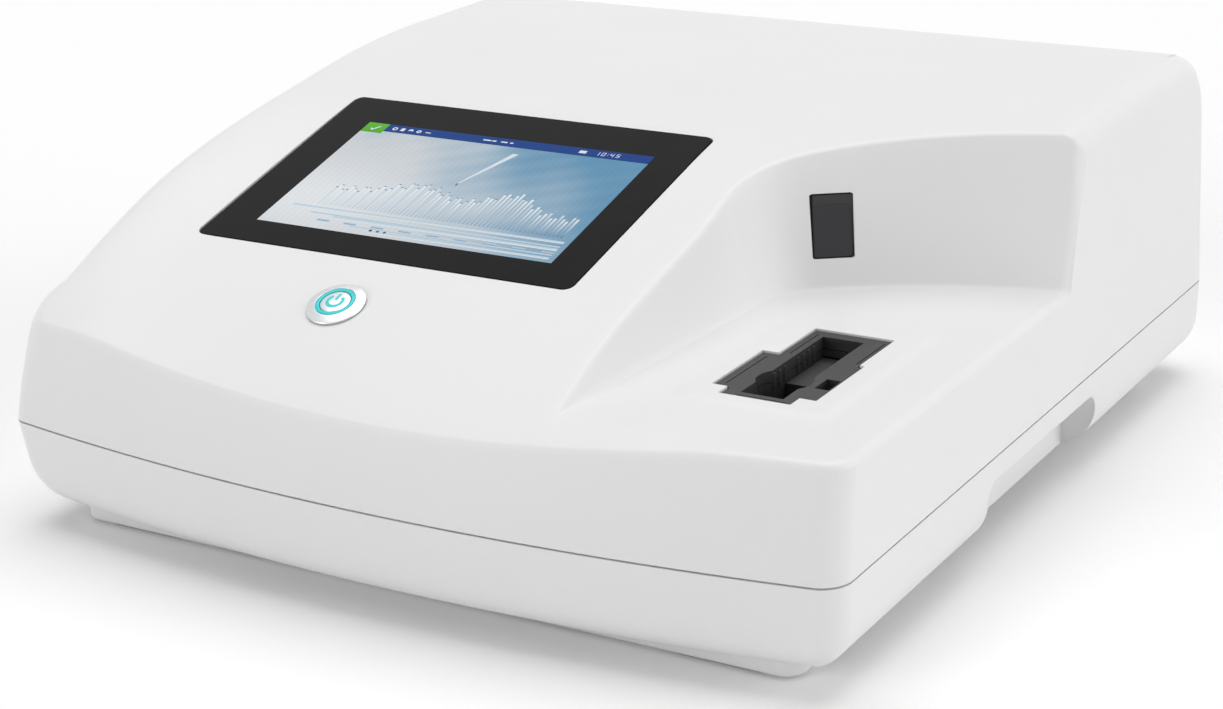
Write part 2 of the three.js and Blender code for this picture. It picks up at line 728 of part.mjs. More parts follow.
const lowerHousing = () => {
  const outer = skinned(baseRings(0, undersideHeight), fromAbove);
  const room = skinned(baseRings(baseWall, baseFloor), fromAbove);
  const bars = [frontBarY, rearBarY].map((y) => raised(
    rectangle(barHalfLength * 2, barDepth, barCorner).map((point) => point.add(
      new THREE.Vector2(0, y))), barLow, baseFloor));
  const bosses = Object.values(screwPlaces).map(([x, y]) => barZ(
    x, y, undersideHeight, partingHeight - seam / 2, bossRadius, screwSides));
  const walls = grips(gripWall).map((grip) => shared(grip, outer));
  const shell = joined(cut(outer, room), ...bars, ...bosses, ...walls);
  const pads = Object.values(padPlaces).map(([x, y]) => raised(
    padOutline(x, y, gap), -overrun, barLow + padSink));
  const coverSeat = block(batteryX - coverWidth / 2 - coverTab, batteryX + coverWidth / 2 + coverTab,
    batteryY - coverLength / 2, batteryY + coverLength / 2,
    -overrun, undersideHeight + coverThickness + gap);
  const batteryHole = boxOn(batteryX, batteryY, -overrun,
    coverWidth - coverLedge * 2, coverLength - coverLedge * 2, overrun * 2);
  const coverScrews = [-1, 1].map((way) => barZ(batteryX + way * coverScrewX, batteryY,
    0, baseFloor + overrun, screwRadius + gap, screwSides));
  const screws = Object.values(screwPlaces).flatMap(([x, y]) => [
    barZ(x, y, -overrun, screwHeadLevel, screwHeadRadius + gap, screwSides),
    barZ(x, y, 0, partingHeight + overrun, screwRadius + gap, screwSides)]);
  return cut(shell, ...grips(0), ...pads, coverSeat, batteryHole, ...coverScrews, ...screws);
};

const batteryCover = () => {
  const plate = boxOn(batteryX, batteryY, undersideHeight, coverWidth + coverTab * 2 - gap * 2,
    coverLength - gap * 2, coverThickness);
  const holes = [-1, 1].map((way) => barZ(batteryX + way * coverScrewX, batteryY,
    0, baseFloor, screwRadius + gap, screwSides));
  return cut(plate, ...holes);
};

// Finishes
const finish = (color, roughness, metalness = 0) => new THREE.MeshStandardMaterial(
  { color, roughness, metalness });
const finishes = {
  shell: finish('#e9e9e8', 0.45), dark: finish('#3c3c3e', 0.6), glass: finish('#26272a', 0.1),
  screen: finish('#8fb9d8', 0.3), steel: finish('#b9bcc0', 0.3, 1), teal: finish('#20d8d8', 0.4),
  rubber: finish('#2a2a2c', 0.9), aluminium: finish('#a9acb0', 0.4, 1), black: finish('#1d1e20', 0.5),
  optic: finish('#cfe0e6', 0.05), board: finish('#1f5b3a', 0.5), battery: finish('#3d6ea5', 0.5),
  zinc: finish('#c9cbcf', 0.35, 1), brass: finish('#c2a25a', 0.35, 1),
};

const model = new THREE.Group();
model.add(displayFrame, buttonFrame, windowFrame);
const add = (name, geometry, material, parent = model) => {
  const mesh = new THREE.Mesh(geometry, material);
  mesh.name = name;
  parent.add(mesh);
  return mesh;
};

// Housings, feet and screws
add('upper_housing', upperHousing(), finishes.shell);
add('lower_housing', lowerHousing(), finishes.shell);
add('battery_cover', batteryCover(), finishes.shell);
for (const [place, [x, y]] of Object.entries(padPlaces)) {
  add(`${place}_foot`, raised(padOutline(x, y, 0), 0, barLow + padSink - gap), finishes.rubber);
}
const screw = (length) => turned([[0, -screwHeadHeight], [screwHeadRadius, -screwHeadHeight],
  [screwHeadRadius, 0], [screwRadius, 0], [screwRadius, length], [0, length]], screwSides);
for (const [place, [x, y]] of Object.entries(screwPlaces)) {
  const length = partingHeight + screwReach - screwHeadLevel;
  add(`${place}_screw`, screw(length), finishes.zinc).position.set(x, y, screwHeadLevel - gap);
}
for (const [side, way] of [['left', -1], ['right', 1]]) {
  const level = undersideHeight - gap;
  const shape = turned([[0, -screwHeadHeight / 2], [coverScrewRadius, -screwHeadHeight / 2],
    [coverScrewRadius, 0], [screwRadius, 0], [screwRadius, coverScrewLength], [0, coverScrewLength]],
  screwSides);
  add(`battery_cover_${side}_screw`, shape, finishes.zinc)
    .position.set(batteryX + way * coverScrewX, batteryY, level);
}
const packLevel = undersideHeight + coverThickness + gap;
add('battery_pack', raised(rectangle(batteryWidth, batteryLength, batteryMargin)
  .map((point) => point.add(new THREE.Vector2(batteryX, batteryY))),
packLevel, packLevel + batteryHeight), finishes.battery);

// Display, each piece under the one before it
const displayStack = () => {
  add('display_glass', raised(rectangle(glassWidth, glassLength, glassCorner),
    -glassThickness, 0), finishes.glass, displayFrame);
  const trayLength = panelLength + gap * 2 + bracketMargin * 2;
  const past = (trayLength + glassLength) / 2 + glassInset - flatRun / Math.cos(displaySlope);
  const crestFall = past ** 2 / (2 * crestRadius);
  const panelTop = -shellWall - gap * 2 - crestFall;
  add('lcd_panel', boxOn(0, 0, panelTop - panelThickness, panelWidth, panelLength, panelThickness),
    finishes.screen, displayFrame);
  const trayWidth = panelWidth + gap * 2 + bracketMargin * 2;
  const trayLow = panelTop - panelThickness - gap - bracketThickness;
  const tray = cut(boxOn(0, 0, trayLow, trayWidth, trayLength, panelTop - trayLow),
    boxOn(0, 0, trayLow + bracketThickness, panelWidth + gap * 2, panelLength + gap * 2, overrun),
    boxOn(0, 0, trayLow - overrun, panelWidth / 2, panelLength / 2, overrun * 2));
  add('display_bracket', tray, finishes.aluminium, displayFrame);
};
displayStack();

// Power button: a metal bezel with a lit ring round a moving cap
const powerButton = () => {
  const bore = buttonBarrelRadius - buttonWall;
  const seat = gap;
  add('power_button_bezel', turned([[bore, -buttonBarrelLength],
    [buttonBarrelRadius, -buttonBarrelLength], [buttonBarrelRadius, seat],
    [buttonFlangeRadius, seat], [buttonFlangeRadius, seat + buttonFlangeHeight / 3],
    [buttonBarrelRadius, seat + buttonFlangeHeight * buttonShoulderShare],
    [bore, seat + buttonFlangeHeight],
    [bore, -buttonBarrelLength]]), finishes.steel, buttonFrame);
  const ringOuter = bore - gap;
  const ringInner = ringOuter - buttonRingWidth;
  const ringTop = seat + buttonFlangeHeight;
  add('power_button_ring', turned([[ringInner, -buttonBarrelLength / 4],
    [ringOuter, -buttonBarrelLength / 4], [ringOuter, ringTop], [ringInner, ringTop],
    [ringInner, -buttonBarrelLength / 4]]), finishes.teal, buttonFrame);
  const capRadius = ringInner - gap;
  const capLow = -buttonBarrelLength / 6;
  add('power_button_cap', turned([[0, -buttonBarrelLength + buttonTravel + gap],
    [buttonStemRadius, -buttonBarrelLength + buttonTravel + gap], [buttonStemRadius, capLow],
    [capRadius, capLow], [capRadius, ringTop], [0, ringTop + gap]]), finishes.steel, buttonFrame);
  const baseTop = -buttonBarrelLength + buttonBaseThickness;
  add('power_switch_base', turned([[buttonStemRadius + gap, -buttonBarrelLength],
    [bore - gap, -buttonBarrelLength], [bore - gap, baseTop], [buttonStemRadius + gap, baseTop],
    [buttonStemRadius + gap, -buttonBarrelLength]]), finishes.black, buttonFrame);
  const nutTop = -shellWall - gap * 2;
  const nutBody = barZ(0, 0, nutTop - nutThickness, nutTop, nutAcross / 2 / Math.cos(quarter / 3), 6);
  add('power_button_nut', cut(nutBody, barZ(0, 0, -overrun * 2, overrun,
    buttonBarrelRadius + gap)), finishes.steel, buttonFrame);
};
powerButton();

// Cell holder: a frame flush with the bay floor, a block under it and a sprung slide
const floorUnder = bayFloor - shellWall;
const pocketLeft = pocketX - pocketWidth / 2;
const pocketRight = pocketX + pocketWidth / 2;
const pocketRear = pocketFrontY + pocketLength;
const slideRear = pocketRear - gap;
const cavityRear = slideRear + slideTravel + slideFloorSpare;
const pocketBottom = bayFloor - pocketDepth;
const slideTop = bayFloor - slideDrop;
const benchTop = baseFloor + gap + plateThickness;

const holderOpenings = () => [
  block(pocketLeft, pocketRight, pocketFrontY, pocketRear, pocketBottom, bayFloor + overrun),
  barZ(pocketX, wellY, bayFloor - wellDepth, bayFloor + overrun, wellRadius),
  boxOn(sidePocketX, sidePocketY, bayFloor - sidePocketDepth, sidePocketWidth,
    sidePocketLength, sidePocketDepth + overrun)];

const cellHolder = () => {
  const frame = cut(raised(insertOutline(0), floorUnder, bayFloor + gap), ...holderOpenings());
  add('cell_holder_frame', frame, finishes.dark);
  const blockRear = cavityRear + blockWall;
  const body = block(holderX, holderX + holderWidth, holderY, blockRear,
    benchTop + gap, floorUnder - gap);
  const cavity = block(pocketLeft, pocketRight, pocketFrontY, cavityRear,
    pocketBottom, slideTop + gap);
  const lightPath = barY(pocketX, holderY - overrun, blockRear + overrun, beamHeight, beamRadius);
  const sideCut = block(sidePocketX - sidePocketWidth / 2, holderX + holderWidth + overrun,
    sidePocketY - sidePocketLength / 2, sidePocketY + sidePocketLength / 2,
    bayFloor - sidePocketDepth, bayFloor);
  add('cell_holder_block', cut(body, cavity, lightPath, sideCut, ...holderOpenings()),
    finishes.dark);
  const slide = block(pocketLeft + gap, pocketRight - gap, slideRear - slideLength, slideRear,
    pocketBottom + gap, slideTop);
  add('cell_slide', cut(slide, barY(pocketX, -caseDepth, caseDepth, beamHeight, beamRadius)),
    finishes.dark);
};
cellHolder();

// Code reader behind its window; the window frame looks along -Y into the bay
const codeReader = () => {
  add('reader_window', block(-windowWidth / 2, windowWidth / 2, windowSink,
    windowSink + windowThickness, -windowTall / 2, windowTall / 2), finishes.glass, windowFrame);
  const front = shellWall + gap * 3;
  const body = block(-readerWidth / 2, readerWidth / 2, front, front + readerDepth,
    -readerTall / 2, readerTall / 2);
  const snout = block(-windowWidth / 2 + gap, windowWidth / 2 - gap, windowSink + windowThickness + gap,
    front + readerDepth / 2, -windowTall / 2 + gap, windowTall / 2 - gap);
  const eye = block(-windowWidth / 3, windowWidth / 3, -overrun, front + readerDepth / 3,
    -windowTall / 3, windowTall / 3);
  add('code_reader', cut(joined(body, snout), eye), finishes.black, windowFrame);
};
codeReader();

// Optics bench plate with the grating's bearing hole
const benchPlate = () => {
  const plate = joined(
    block(-plateHalfWidth, plateHalfWidth, plateFrontY, plateRearY, baseFloor + gap, benchTop),
    block(branchLeft, branchRight, branchY, plateFrontY + overrun, baseFloor + gap, benchTop));
  const middleX = (slitX + exitX) / 2;
  add('optics_plate', cut(plate, barZ(middleX, gratingY, 0, beamHeight, tableShaftRadius + gap)),
    finishes.aluminium);
};
benchPlate();
const standing = benchTop + gap;

// Lamp with its reflector box, condenser lens, filter wheel and fold mirror
const lightSource = () => {
  const box = boxOn(lampX, lampY, standing, lampBoxWidth, lampBoxDepth, lampBoxHeight);
  const hollow = boxOn(lampX, lampY, standing + lampBoxWall, lampBoxWidth - lampBoxWall * 2,
    lampBoxDepth - lampBoxWall * 2, lampBoxHeight);
  const exit = barX(lampX, lampX + lampBoxWidth, lampY, beamHeight, bulbRadius);
  add('lamp_housing', cut(box, hollow, exit), finishes.aluminium);
  const bulb = bulbShares.map(([across, along]) => [across * bulbRadius, along * bulbLength]);
  add('halogen_lamp', turned(bulb), finishes.optic)
    .position.set(lampX, lampY, standing + lampBoxWall + gap);
  const face = lensThickness / 2;
  const rim = lensEdge / 2;
  const lens = turned([[0, -face], [lensRadius / 2, -(face * 3 + rim) / 4], [lensRadius, -rim],
    [lensRadius, rim], [lensRadius / 2, (face * 3 + rim) / 4], [0, face]]).rotateY(quarter);
  add('condenser_lens', lens, finishes.optic).position.set(lensX, lampY, beamHeight);
  add('lens_mount', cut(boxOn(lensX, lampY, standing, mountDepth, mountWidth, mountHeight),
    barX(lensX - overrun, lensX + overrun, lampY, beamHeight, lensRadius + gap)), finishes.black);
};
lightSource();

const filterDrive = () => {
  const axisY = lampY - wheelOffset;
  const holes = Array.from({ length: wheelHoles }, (_, i) => {
    const angle = 2 * Math.PI * i / wheelHoles;
    return barX(wheelX - overrun, wheelX + overrun, axisY + wheelOffset * Math.cos(angle),
      beamHeight + wheelOffset * Math.sin(angle), wheelHoleRadius, roundSides / 2);
  });
  const disc = barX(wheelX - wheelThickness / 2, wheelX + wheelThickness / 2, axisY, beamHeight,
    wheelRadius, roundSides * 2);
  const shaftEnd = wheelX + wheelThickness / 2 + wheelMotorLength / 2;
  add('filter_wheel', joined(cut(disc, ...holes),
    barX(wheelX, shaftEnd, axisY, beamHeight, wheelShaftRadius)), finishes.black);
  const motorX = wheelX + wheelThickness / 2 + gap * 2;
  const body = barX(motorX, motorX + wheelMotorLength, axisY, beamHeight, wheelMotorRadius);
  const foot = boxOn(motorX + wheelMotorLength / 2, axisY, standing, wheelMotorLength,
    wheelMotorFoot, beamHeight - standing);
  add('filter_motor', cut(joined(body, foot), barX(motorX - overrun, shaftEnd + gap, axisY,
    beamHeight, wheelShaftRadius + gap)), finishes.steel);
};
filterDrive();

// Slits, fold mirror and beam splitter stand on the plate
const slitPlate = (name, x) => {
  const plate = boxOn(x, slitY, standing, slitWidth, slitThickness, slitHeight);
  add(name, cut(plate, boxOn(x, slitY, beamHeight - slitTall / 2, slitGap, overrun, slitTall)),
    finishes.black);
};
slitPlate('entrance_slit', slitX);
slitPlate('exit_slit', exitX);
const foldMirror = new THREE.BoxGeometry(foldWidth, foldThickness, slitHeight);
const fold = add('fold_mirror', foldMirror, finishes.optic);
fold.position.set(slitX, lampY, standing + slitHeight / 2);
fold.rotation.z = quarter / 2;
const splitter = add('beam_splitter',
  new THREE.BoxGeometry(splitterWidth, splitterThickness, slitHeight), finishes.optic);
splitter.position.set(exitX, splitterY, standing + slitHeight / 2);
splitter.rotation.z = -quarter / 2;
add('reference_detector', cut(boxOn(referenceX, splitterY, standing, referenceSize, referenceSize,
  detectorHeight), barX(referenceX, referenceX + overrun, splitterY, beamHeight, beamRadius)),
finishes.black);
const detectorY = holderY - gap - detectorDepth / 2;
add('sample_detector', cut(boxOn(pocketX, detectorY, beamHeight - detectorHeight / 2, detectorWidth,
  detectorDepth, detectorHeight), barY(pocketX, detectorY, holderY + overrun, beamHeight,
  beamRadius)), finishes.black);

// Concave mirrors, each glued to an angle bracket
const mirrorPair = (name, x, way) => {
  const frame = frameAt(x, mirrorY, 0);
  frame.rotation.z = way * mirrorTurn;
  model.add(frame);
  const glass = turned([[0, mirrorDish], [mirrorRadius / 2, mirrorDish * mirrorDishShare],
    [mirrorRadius, 0], [mirrorRadius, mirrorThickness], [0, mirrorThickness]]).rotateX(-quarter);
  add(`${name}_mirror`, glass, finishes.optic, frame).position.set(0, 0, beamHeight);
  const back = mirrorThickness + gap;
  const plate = block(-mirrorRadius, mirrorRadius, back, back + mirrorMountDepth, standing,
    beamHeight + mirrorRadius);
  const foot = block(-mirrorRadius, mirrorRadius, back, back + mirrorFootDepth, standing,
    standing + mirrorMountDepth);
  add(`${name}_bracket`, joined(plate, foot), finishes.aluminium, frame);
};
mirrorPair('collimating', slitX, 1);
mirrorPair('focusing', exitX, -1);

// Grating on its geared table, with the stepper that turns it
const involute = (base, radius) => {
  const turn = Math.sqrt((radius / base) ** 2 - 1);
  return turn - Math.atan(turn);
};
const gearOutline = (teeth, from, to) => {
  const pitch = toothModule * teeth / 2;
  const base = pitch * Math.cos(pressureAngle);
  const tip = pitch + toothModule * addendumShare;
  const root = pitch - toothModule * dedendumShare;
  const half = quarter / teeth * toothShare;
  const flank = [Math.max(base, root), pitch, tip].map((radius) => ({
    radius, angle: half + involute(base, pitch) - involute(base, radius) }));
  const points = [];
  const put = (radius, angle) => points.push(new THREE.Vector2(
    radius * Math.cos(angle), radius * Math.sin(angle)));
  for (let tooth = from; tooth <= to; tooth += 1) {
    const middle = 2 * Math.PI * tooth / teeth;
    put(root, middle - flank[0].angle);
    flank.forEach(({ radius, angle }) => put(radius, middle - angle));
    [...flank].reverse().forEach(({ radius, angle }) => put(radius, middle + angle));
    put(root, middle + flank[0].angle);
  }
  return points;
};
const gratingDrive = () => {
  const middleX = (slitX + exitX) / 2;
  const distance = toothModule * (gearTeeth + pinionTeeth) / 2;
  const gearLow = benchTop + gearLift;
  const gearTop = gearLow + gearThickness;
  const side = Math.round(gearTeeth * gearSpread / (2 * Math.PI));
  const sector = gearOutline(gearTeeth, -side, side);
  sector.push(new THREE.Vector2(-tableRadius / 2, tableRadius / 2),
    new THREE.Vector2(-tableRadius / 2, -tableRadius / 2));
  const gear = raised(sector, gearLow, gearTop).rotateZ(-quarter);
  const table = joined(gear, barZ(0, 0, gearTop - gap, gearTop + tableThickness, tableRadius),
    barZ(0, 0, baseFloor + gap * 2, gearTop, tableShaftRadius));
  add('grating_table', table, finishes.brass).position.set(middleX, gratingY, 0);
  const gratingLow = gearTop + tableThickness + gap;
  add('grating', boxOn(0, 0, gratingLow, gratingWidth, gratingThickness, gratingHeight),
    finishes.optic).position.set(middleX, gratingY, 0);
  const plateLow = gearTop + gap * 2;
  const plateTop = plateLow + motorPlateThickness;
  const motorY = gratingY - distance;
  const shaftTop = plateTop + gap + motorShaftReach;
  const halfTooth = Math.PI / pinionTeeth;
  const pinion = joined(raised(gearOutline(pinionTeeth, 0, pinionTeeth - 1), gearLow, gearTop)
    .rotateZ(quarter + halfTooth), barZ(0, 0, gearLow, shaftTop, motorShaftRadius));
  add('motor_pinion', pinion, finishes.brass).position.set(middleX, motorY, 0);
  const legInner = motorSize / 2 + gap;
  const legs = [-1, 1].map((way) => boxOn(middleX + way * (legInner + motorLegThickness / 2), motorY,
    standing, motorLegThickness, motorSize / 2, plateTop - standing));
  const shelf = boxOn(middleX, motorY, plateLow, (legInner + motorLegThickness) * 2, motorSize / 2,
    motorPlateThickness);
  add('motor_bracket', cut(joined(shelf, ...legs), barZ(middleX, motorY, 0, caseHeight,
    motorShaftRadius + gap)), finishes.aluminium);
  add('grating_motor', cut(boxOn(middleX, motorY, plateTop + gap, motorSize, motorSize, motorHeight),
    barZ(middleX, motorY, 0, shaftTop + gap, motorShaftRadius + gap)), finishes.black);
};
gratingDrive();

// Main board on its carrier, with the sockets that reach through the rear panel
const boardLeft = boardX - boardWidth / 2;
const boardRight = boardX + boardWidth / 2;
const boardTop = boardHeight + boardThickness;
const mainBoard = () => {
  add('main_board', block(boardLeft, boardRight, boardFront, boardRear, boardHeight, boardTop),
    finishes.board);
  const carrierTop = boardHeight - gap;
  const carrierLow = carrierTop - carrierThickness;
  const run = boardRear - boardFront - carrierLegInset * 2;
  const legs = carrierLegShares.map(([across, along]) => barZ(
    boardLeft + carrierLegInset + across * (boardWidth - carrierLegInset * 2),
    boardFront + carrierLegInset + along * run, standing, carrierTop, carrierLegRadius,
    roundSides / 2));
  add('board_carrier', joined(block(boardLeft, boardRight, boardFront, boardRear, carrierLow,
    carrierTop), ...legs), finishes.aluminium);
};
mainBoard();

const socketRear = rearPanelY + gap;
const socketFront = socketRear - socketDepth;
const socketLow = boardTop + gap;
const rearSockets = () => {
  const dcZ = socketLow + dcSize / 2;
  const dc = cut(block(dcX - dcSize / 2, dcX + dcSize / 2, socketFront, socketRear, socketLow,
    socketLow + dcSize), barY(dcX, socketFront + socketDepth / 3, socketRear + overrun, dcZ, dcBore));
  add('dc_socket', joined(dc, barY(dcX, socketFront + gap, socketRear - gap, dcZ, dcPin)),
    finishes.black);
  const lanZ = socketLow + lanTall / 2;
  add('network_socket', cut(block(lanX - lanWidth / 2, lanX + lanWidth / 2, socketFront, socketRear,
    socketLow, socketLow + lanTall), boxOn(lanX, socketRear, lanZ - lanOpeningTall / 2,
    lanOpeningWidth, socketDepth * socketMouthShare * 2, lanOpeningTall)), finishes.zinc);
  usbXs.forEach((x, i) => {
    const shell = boxOn(x, (socketFront + socketRear) / 2, socketLow, usbWidth, socketDepth, usbTall);
    const mouth = boxOn(x, socketRear, socketLow + usbWall, usbWidth - usbWall * 2,
      socketDepth * socketMouthShare * 2, usbTall - usbWall * 2);
    const tongue = boxOn(x, (socketFront + socketRear) / 2, socketLow + usbTall / 2,
      usbWidth * usbTongueShare, socketDepth - usbWall * 2, usbTall / 4);
    add(`usb_socket_${i + 1}`, joined(cut(shell, mouth), tongue), finishes.zinc);
  });
};
rearSockets();

const fanZ = rearPanelLow + rearPanelTall / 2;
const rearPanel = () => {
  const panelLow = rearPanelLow - rearPanelMargin;
  const plate = block(panelLeft - rearPanelMargin, panelRight + rearPanelMargin,
    rearPanelY - rearPanelThickness, rearPanelY, panelLow, rearPanelTop);
  const hole = (x, width, tall) => boxOn(x, rearPanelY, socketLow - gap, width + gap * 2, overrun,
    tall + gap * 2);
  const slotTall = fanBore * slotTallShare;
  const slots = slotSteps.map((step) => boxOn(fanX + step * slotWidth * 2, rearPanelY,
    fanZ - slotTall / 2, slotWidth, overrun, slotTall));
  add('rear_panel', cut(plate, hole(dcX, dcSize, dcSize), hole(lanX, lanWidth, lanTall),
    ...usbXs.map((x) => hole(x, usbWidth, usbTall)), ...slots), finishes.dark);
};
rearPanel();

// Fan: a square frame with a spider that carries the rotor's shaft
const fan = () => {
  const rear = rearPanelY - rearPanelThickness - gap;
  const front = rear - fanDepth;
  const shell = cut(boxOn(fanX, (front + rear) / 2, fanZ - fanSize / 2, fanSize, fanDepth, fanSize),
    barY(fanX, front - overrun, rear + overrun, fanZ, fanBore));
  const spiderFront = rear - fanBladeThickness;
  const spokes = [0, 1].map((step) => new THREE.BoxGeometry(
    fanBore * 2 + gap * 2, fanBladeThickness, fanSpokeWidth)
    .rotateY(step * quarter + quarter / 2).translate(fanX, (spiderFront + rear) / 2, fanZ));
  const hub = cut(barY(fanX, spiderFront, rear, fanZ, fanHub), barY(fanX, front, rear + overrun, fanZ,
    fanShaftRadius + gap));
  const spider = cut(joined(...spokes), barY(fanX, front, rear + overrun, fanZ,
    fanShaftRadius + gap));
  add('fan_frame', joined(shell, hub, spider), finishes.black);
  const rotorRear = spiderFront - gap * 2;
  const blades = Array.from({ length: fanBlades }, (_, i) => new THREE.BoxGeometry(
    fanBladeThickness, rotorRear - front - gap * 2, fanBore - gap * 4 - fanHub / 2)
    .rotateZ(quarter / 3).translate(0, 0, (fanBore - gap * 4 + fanHub / 2) / 2)
    .rotateY(2 * Math.PI * i / fanBlades).translate(fanX, (rotorRear + front) / 2, fanZ));
  const limits = barY(fanX, front + gap, rotorRear, fanZ, fanBore - gap * 2);
  const rotorHub = barY(fanX, front + gap, rotorRear, fanZ, fanHub);
  const shaft = barY(fanX, front + gap, rear, fanZ, fanShaftRadius);
  add('fan_rotor', joined(shared(joined(rotorHub, ...blades), limits), shaft), finishes.black);
};
fan();

export default model;
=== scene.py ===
"""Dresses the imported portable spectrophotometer: moulded housings, lit display, sample bay and studio.

Lengths are millimetres in the CAD frame: the origin lies on the table under the middle of the case, X runs
to the right, Y to the back and Z up. put_mesh turns them into Blender's metres.
"""
import logging
import math
from contextlib import contextmanager
from dataclasses import dataclass
from enum import Enum
from typing import Any, Iterable, Iterator, Mapping, Sequence

import bmesh
import bpy
import numpy as np
from mathutils import Matrix, Vector
from mathutils.geometry import delaunay_2d_cdt


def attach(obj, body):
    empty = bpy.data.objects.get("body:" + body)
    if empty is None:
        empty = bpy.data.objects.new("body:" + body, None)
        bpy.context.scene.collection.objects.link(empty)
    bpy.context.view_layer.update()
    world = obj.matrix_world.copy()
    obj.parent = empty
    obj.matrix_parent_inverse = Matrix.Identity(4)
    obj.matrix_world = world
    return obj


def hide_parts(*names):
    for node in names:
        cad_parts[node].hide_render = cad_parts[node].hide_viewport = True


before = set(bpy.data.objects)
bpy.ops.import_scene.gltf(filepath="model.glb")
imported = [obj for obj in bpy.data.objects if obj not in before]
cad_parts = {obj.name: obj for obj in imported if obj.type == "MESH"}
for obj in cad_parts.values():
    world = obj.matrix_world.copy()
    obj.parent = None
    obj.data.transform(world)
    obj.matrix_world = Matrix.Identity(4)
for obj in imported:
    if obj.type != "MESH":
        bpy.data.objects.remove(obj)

Array = np.ndarray
Material, Piece = bpy.types.Material, bpy.types.Object
Tree, Socket = bpy.types.NodeTree, bpy.types.NodeSocket
MM = 0.001
# gaps in millimetres within which vertices merge: in a piece, in a cut's helper and along the deck's rim
PIECE_GAP, HELPER_GAP, SEAM_GAP = 0.002, 0.001, 0.02
# edges shorter than this are slivers, and flat points closer than this are one
SLIVER, FLAT_GAP = 0.0005, 1e-5
TINY = 1e-12
# how many places are worked out at once
RUN = 1000
log = logging.getLogger("spectrophotometer")


class Body(Enum):
    """The moving bodies that visible pieces ride on."""

    CASE = "case"
    BUTTON = "power_button"


class Slot(Enum):
    """The record's material slots, one for each finish of the real instrument."""

    SHELL = "shell"
    DARK = "dark"
    GLASS = "glass"
    SCREEN = "screen"
    STEEL = "steel"
    TEAL = "teal"
    RUBBER = "rubber"
    ALUMINIUM = "aluminium"
    BLACK = "black"
    OPTIC = "optic"
    MIRROR = "mirror"
    BOARD = "board"
    BATTERY = "battery"
    ZINC = "zinc"
    BRASS = "brass"


# Shared helpers: colours, nodes and meshes

def linear(hex_colour: str) -> tuple[float, float, float, float]:
    """Turns an sRGB hex colour into linear light, by c / 12.92 if dark and else ((c + 0.055) / 1.055) ^ 2.4.

    Args:
        hex_colour: Six hex digits after a hash.

    Returns:
        Linear red, green and blue with an alpha of 1.
    """
    parts = [int(hex_colour[i:i + 2], 16) / 255 for i in (1, 3, 5)]
    red, green, blue = (c / 12.92 if c <= 0.04045 else ((c + 0.055) / 1.055) ** 2.4 for c in parts)
    return red, green, blue, 1.0


def add_node(tree: Tree, kind: str, inputs: Mapping[Any, Any] | None = None,
             **settings: Any) -> bpy.types.Node:
    """Adds a shader node with its settings, values and incoming links.

    Args:
        tree: The node tree that takes the node.
        kind: Blender's node type without its ShaderNode prefix.
        inputs: A value or an output socket for each input, by name or by number.
        settings: Attributes of the node.

    Returns:
        The new node.
    """
    node = tree.nodes.new("ShaderNode" + kind)
    for name, value in settings.items():
        setattr(node, name, value)
    for name, value in (inputs or {}).items():
        if isinstance(value, Socket):
            tree.links.new(value, node.inputs[name])
        else:
            node.inputs[name].default_value = value
    return node


def moved(points: Array, place: Matrix) -> Array:
    """Carries points from a piece's own frame into the case's."""
    turn = np.array(place)
    return points @ turn[:3, :3].T + turn[:3, 3]


def at_level(flat: Array, level: Array | float) -> Array:
    """Gives flat points their height, one for all or one for each."""
    return np.column_stack([flat, np.broadcast_to(level, len(flat))])


def mesh_of(name: str, points: Array, faces: Iterable[Sequence[int]]) -> bpy.types.Mesh:
    """Makes a mesh from points in millimetres and the vertex numbers of its faces."""
    mesh = bpy.data.meshes.new(name)
    mesh.from_pydata((np.asarray(points, float) * MM).tolist(), [], [list(map(int, f)) for f in faces])
    return mesh


def linked(name: str, data: bpy.types.ID) -> Piece:
    """Makes the object of a mesh, a lamp or a camera and links it to the scene."""
    made = bpy.data.objects.new(name, data)
    bpy.context.scene.collection.objects.link(made)
    return made


@contextmanager
def edited(mesh: bpy.types.Mesh, gap: float) -> Iterator[bmesh.types.BMesh]:
    """Opens a mesh, merges vertices that lie within a gap, and writes back what is done to it."""
    edit = bmesh.new()
    edit.from_mesh(mesh)
    bmesh.ops.remove_doubles(edit, verts=edit.verts, dist=gap * MM)
    yield edit
    edit.to_mesh(mesh)
    edit.free()


def put_mesh(name: str, points: Array, faces: Iterable[Sequence[int]], material: Material,
             slot: Slot, body: Body = Body.CASE, stands_for: Sequence[str] = ()) -> Piece:
    """Makes one piece from points in millimetres, and lets it ride on its body.

    Args:
        name: The piece's name.
        points: One row of X, Y and Z for each vertex.
        faces: Vertex numbers of each face.
        material: The piece's finish.
        slot: The record's slot that the finish stands for; not used.
        body: The CAD body that the piece moves with.
        stands_for: CAD nodes that the piece replaces.

    Returns:
        The new object, at the origin, unturned and unscaled.
    """
    mesh = mesh_of(name, points, faces)
    mesh.validate()
    mesh.materials.append(material)
    piece = linked(name, mesh)
    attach(piece, body.value)
    if stands_for:
        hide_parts(*stands_for)
    return piece


def applied(piece: Piece) -> None:
    """Turns what a piece's live modifiers make into its mesh."""
    bpy.context.view_layer.update()
    result = bpy.data.meshes.new_from_object(piece.evaluated_get(bpy.context.evaluated_depsgraph_get()))
    piece.modifiers.clear()
    old, piece.data = piece.data, result
    bpy.data.meshes.remove(old)


